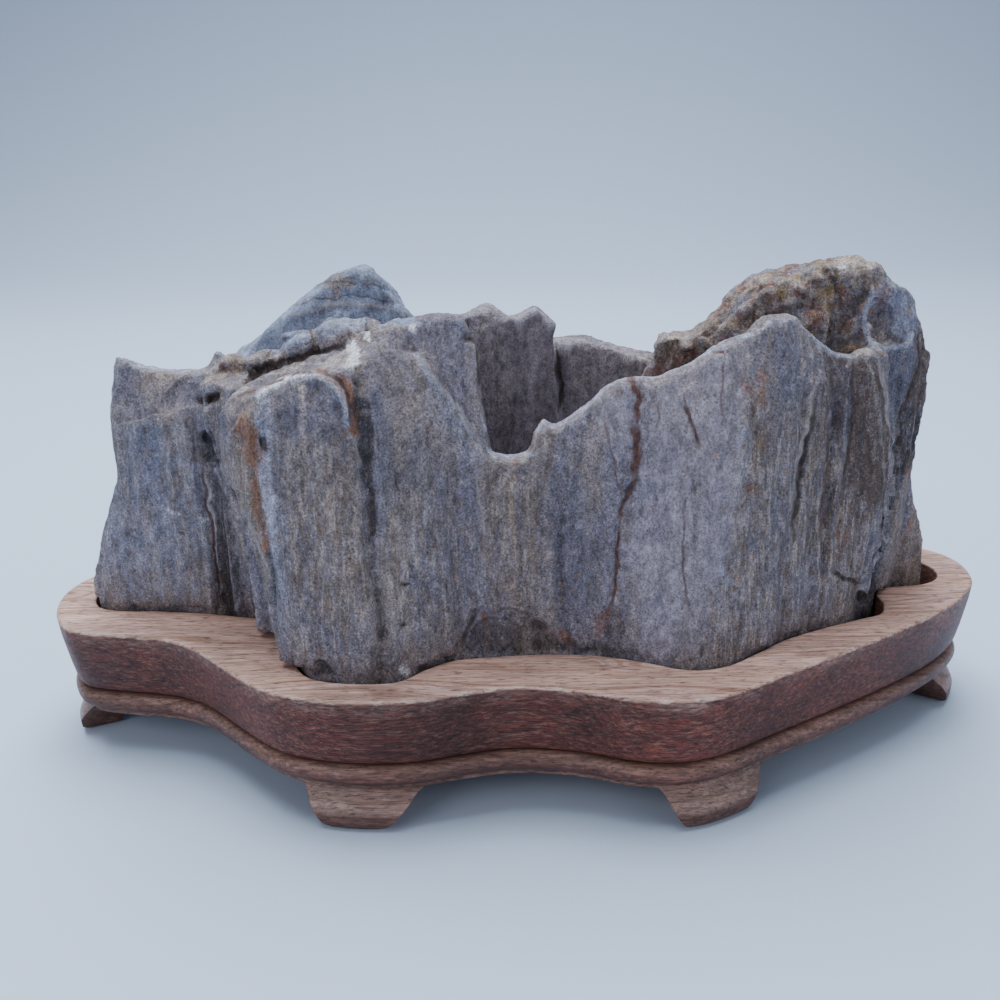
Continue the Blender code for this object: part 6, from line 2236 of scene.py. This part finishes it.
@dataclass
class StandBase(StandBoard):
    """The lower board: a half-round bead and an apron that drops into six feet.

    Attributes:
        bead_centre: Height of the bead's middle, in mm.
        bead_radius: Its radius.
        bead_inset: Its axis, inward from the outline.
        bead_sweep: How far up and down it is rounded, in degrees.
        bead_steps: Steps of its rounding.
        neck_height: Height of the neck under the bead.
        neck_inset: The neck, inward from the outline.
        apron_edge: Height of the apron's lower edge between the feet.
        underside: Height of the board's underside.
        back_inset: The feet's back, inward from the outline.
        quick_lift: How much of a foot's sweep rises at once, the rest slowly.
        foot_face: Face of a foot from top to bottom: inset from the outline and height.
        foot_steps: Steps of that face.
    """

    bead_centre: float = 17.7
    bead_radius: float = 3.4
    bead_inset: float = 5.4
    bead_sweep: float = 80.0
    bead_steps: int = 14
    neck_height: float = 13.6
    neck_inset: float = 6.4
    apron_edge: float = 12.2
    underside: float = 12.8
    back_inset: float = 14.0
    quick_lift: float = 0.22
    foot_face: list[Point] = field(default_factory=lambda: [
        (6.4, 13.6), (4.8, 10.8), (2.5, 8.2), (1.3, 5.6), (1.5, 2.0), (3.2, 0.0)])
    foot_steps: int = 14

    def edge_heights(self) -> np.ndarray:
        """Work out the height of the board's lower edge all round.

        Returns:
            One height for each fine point of the outline.
        """
        count = self.coarse * self.factor
        places, curve = np.arange(count) / count, closed_curve(STAND_OUTLINE, count)
        total = float(np.linalg.norm(np.roll(curve, -1, axis=0) - curve, axis=1).sum())
        heights = np.full(count, self.apron_edge)
        for middle, length, sweep_a, sweep_b in FEET.values():
            centre = places[int(np.argmin(np.linalg.norm(curve - np.array(middle), axis=1)))]
            run = (places - centre + 0.5) % 1 - 0.5
            beyond = np.abs(run) * total - length / 2
            lift = np.clip(beyond / np.where(run > 0, sweep_a, sweep_b), 0, 1)
            sweep = self.quick_lift * (1 - (1 - lift) ** 2)
            sweep += (1 - self.quick_lift) * lift * lift * (3 - 2 * lift)
            heights = np.minimum(heights, self.apron_edge * sweep)
        return heights

    def build(self) -> bpy.types.Object:
        """Build the lower board and dress it.

        Returns:
            The piece.
        """
        edges = self.edge_heights()
        mesh = bmesh.new()
        rings = [Ring.add(mesh, self.loop(self.bead_inset + 0.6), BASE_TOP)]
        for step in range(self.bead_steps + 1):
            angle = math.radians(self.bead_sweep * (1 - 2 * step / self.bead_steps))
            ring = self.loop(self.bead_inset - self.bead_radius * math.cos(angle))
            rings.append(Ring.add(mesh, ring, self.bead_centre + self.bead_radius * math.sin(angle)))
        outer, inner = self.loop(0.0), self.loop(self.neck_inset)
        rings.append(Ring.add(mesh, inner, self.neck_height))
        face = np.array(self.foot_face[::-1])
        for height in np.linspace(self.neck_height, 0.0, self.foot_steps + 1)[1:]:
            heights = edges + height * (self.neck_height - edges) / self.neck_height
            share = (np.interp(heights, face[:, 1], face[:, 0]) / self.neck_inset)[:, None]
            rings.append(Ring.add(mesh, outer * (1 - share) + inner * share, heights))
        rings.append(Ring.add(mesh, self.loop(self.back_inset), edges))
        rings.append(Ring.add(mesh, self.loop(self.back_inset + 1), self.underside))
        Ring.bridge(mesh, rings)
        Ring.cap(mesh, rings[0])
        Ring.cap(mesh, rings[-1])
        piece = self.finish_piece(mesh, "stand_base_board", 38)
        self.dress(piece)
        return piece

    def dress(self, piece: bpy.types.Object) -> None:
        """Paint shade into the neck and under the bead, paint sheen on upward slopes, and give the board its
        wood.

        Args:
            piece: The board.
        """
        points, normals = read_shape(piece.data)
        z = points[:, 2]
        # Painted shade in the neck groove, under the bead and on faces that look down; the seam under the
        # upper board is a dark joint
        neck = 1 - smooth_step(np.abs(z - self.neck_height - 0.3), 0.2, 1.4)
        below_bead = 0.85 * plateau(z, (self.neck_height, self.neck_height + 0.5),
                                    (self.bead_centre - 2.2, self.bead_centre + 0.2))
        seam = smooth_step(z, BASE_TOP - 0.7, BASE_TOP)
        under = 0.5 * smooth_step(-normals[:, 2], 0.6, 0.95)
        # Painted sheen: upward slopes of the bead and feet get a lighter tone and the pale edge colour
        slope = smooth_step(normals[:, 2], 0.0, 0.5)
        foot = 1 - smooth_step(z, 10.0, 13.0)
        self.coat(piece.data, side=0.92 - 0.3 * slope - 0.14 * foot, edge=slope * (0.12 + 0.45 * foot),
                  recess=np.maximum.reduce([neck, seam, below_bead, under]))


@dataclass
class Studio:
    """Plain pale floor and plain soft light.

    Attributes:
        finish: The floor's finish.
        width: Width of the floor, in metres.
        front: How far it comes forward.
        back: Where it starts to rise.
        rise: Radius of the rise.
        top: Height that it rises to.
        rise_steps: Steps of the rise.
        aim: Height that the lights look at.
        air: Colour of the light all round.
        air_strength: Its strength.
    """

    finish: FloorFinish = field(default_factory=FloorFinish)
    width: float = 6.0
    front: float = -2.0
    back: float = 0.9
    rise: float = 0.9
    top: float = 3.0
    rise_steps: int = 24
    aim: float = 0.07
    air: Colour = (0.72, 0.82, 1.0)
    air_strength: float = 0.28

    def build(self) -> None:
        """Build the floor and hang the lights."""
        self.floor()
        self.light("overhead", (-0.10, 0.30, 1.15), 1.2, 32.0, (0.86, 0.93, 1.0))
        self.light("front_left", (-1.0, -1.0, 0.85), 0.9, 6.0, (1.0, 0.95, 0.95))
        self.light("front_right", (1.1, -0.9, 0.75), 0.9, 3.6, (1.0, 0.95, 0.95))
        world = bpy.data.worlds.new("studio_air")
        world.use_nodes = True
        background = world.node_tree.nodes["Background"]
        background.inputs["Color"].default_value = (*self.air, 1.0)
        background.inputs["Strength"].default_value = self.air_strength
        bpy.context.scene.world = world

    def floor(self) -> None:
        """Build the floor as one sheet that rises behind the object."""
        profile = [(self.front, 0.0)]
        for step in range(self.rise_steps + 1):
            angle = math.pi / 2 * step / self.rise_steps
            profile.append((self.back + self.rise * math.sin(angle), self.rise * (1 - math.cos(angle))))
        profile.append((self.back + self.rise, self.top))
        mesh = bmesh.new()
        rows = [[mesh.verts.new((x, y, z)) for x in (-self.width / 2, self.width / 2)] for y, z in profile]
        for near, far in zip(rows, rows[1:]):
            mesh.faces.new((near[0], near[1], far[1], far[0]))
        data = bpy.data.meshes.new("studio_floor")
        mesh.to_mesh(data)
        mesh.free()
        data.shade_smooth()
        data.materials.append(self.finish.material())
        sheet = add_object("studio_floor", data)

    def light(self, name: str, place: tuple[float, float, float], size: float, power: float,
              colour: Colour) -> None:
        """Hang one soft light that looks at the object.

        Args:
            name: Its name.
            place: Where it hangs, in metres.
            size: Its width and height.
            power: Its power in watts.
            colour: Its colour.
        """
        data = bpy.data.lights.new(name, "AREA")
        data.size = size
        data.energy = power
        data.color = colour
        lamp = add_object(name, data)
        lamp.location = place
        lamp.rotation_mode = "QUATERNION"
        lamp.rotation_quaternion = (Vector((0, 0, self.aim)) - Vector(place)).to_track_quat("-Z", "Y")


def show(piece: bpy.types.Object, node: str) -> None:
    """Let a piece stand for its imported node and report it.

    Args:
        piece: The piece.
        node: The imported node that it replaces.
    """
    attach(piece, "root")
    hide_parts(node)
    size = " x ".join(f"{length / MM:.1f}" for length in piece.dimensions)
    log.info("%s: %d triangles, %s mm, for node %s", piece.name, triangle_count(piece.data), size, node)


def main() -> None:
    """Build and dress every piece in order."""
    logging.basicConfig(level=logging.INFO, format="%(message)s")
    viewpoint = Viewpoint()
    viewpoint.add_camera()
    show(Stone(viewpoint).build(), "rock")
    show(StandRim(WoodFinish("stand_wood_top")).build(), "stand_rim")
    # The base's wood: darker sides, and painted sheen at least this strong on its upward slopes
    base_wood = WoodFinish("stand_wood_base", shine=0.38, gloss=0.35, least_wear_and_sheen=0.30,
                           side_tone=(0.210, 0.078, 0.046))
    show(StandBase(base_wood).build(), "stand_base")
    Studio().build()
    bpy.context.view_layer.update()


if __name__ == "__main__":
    main()
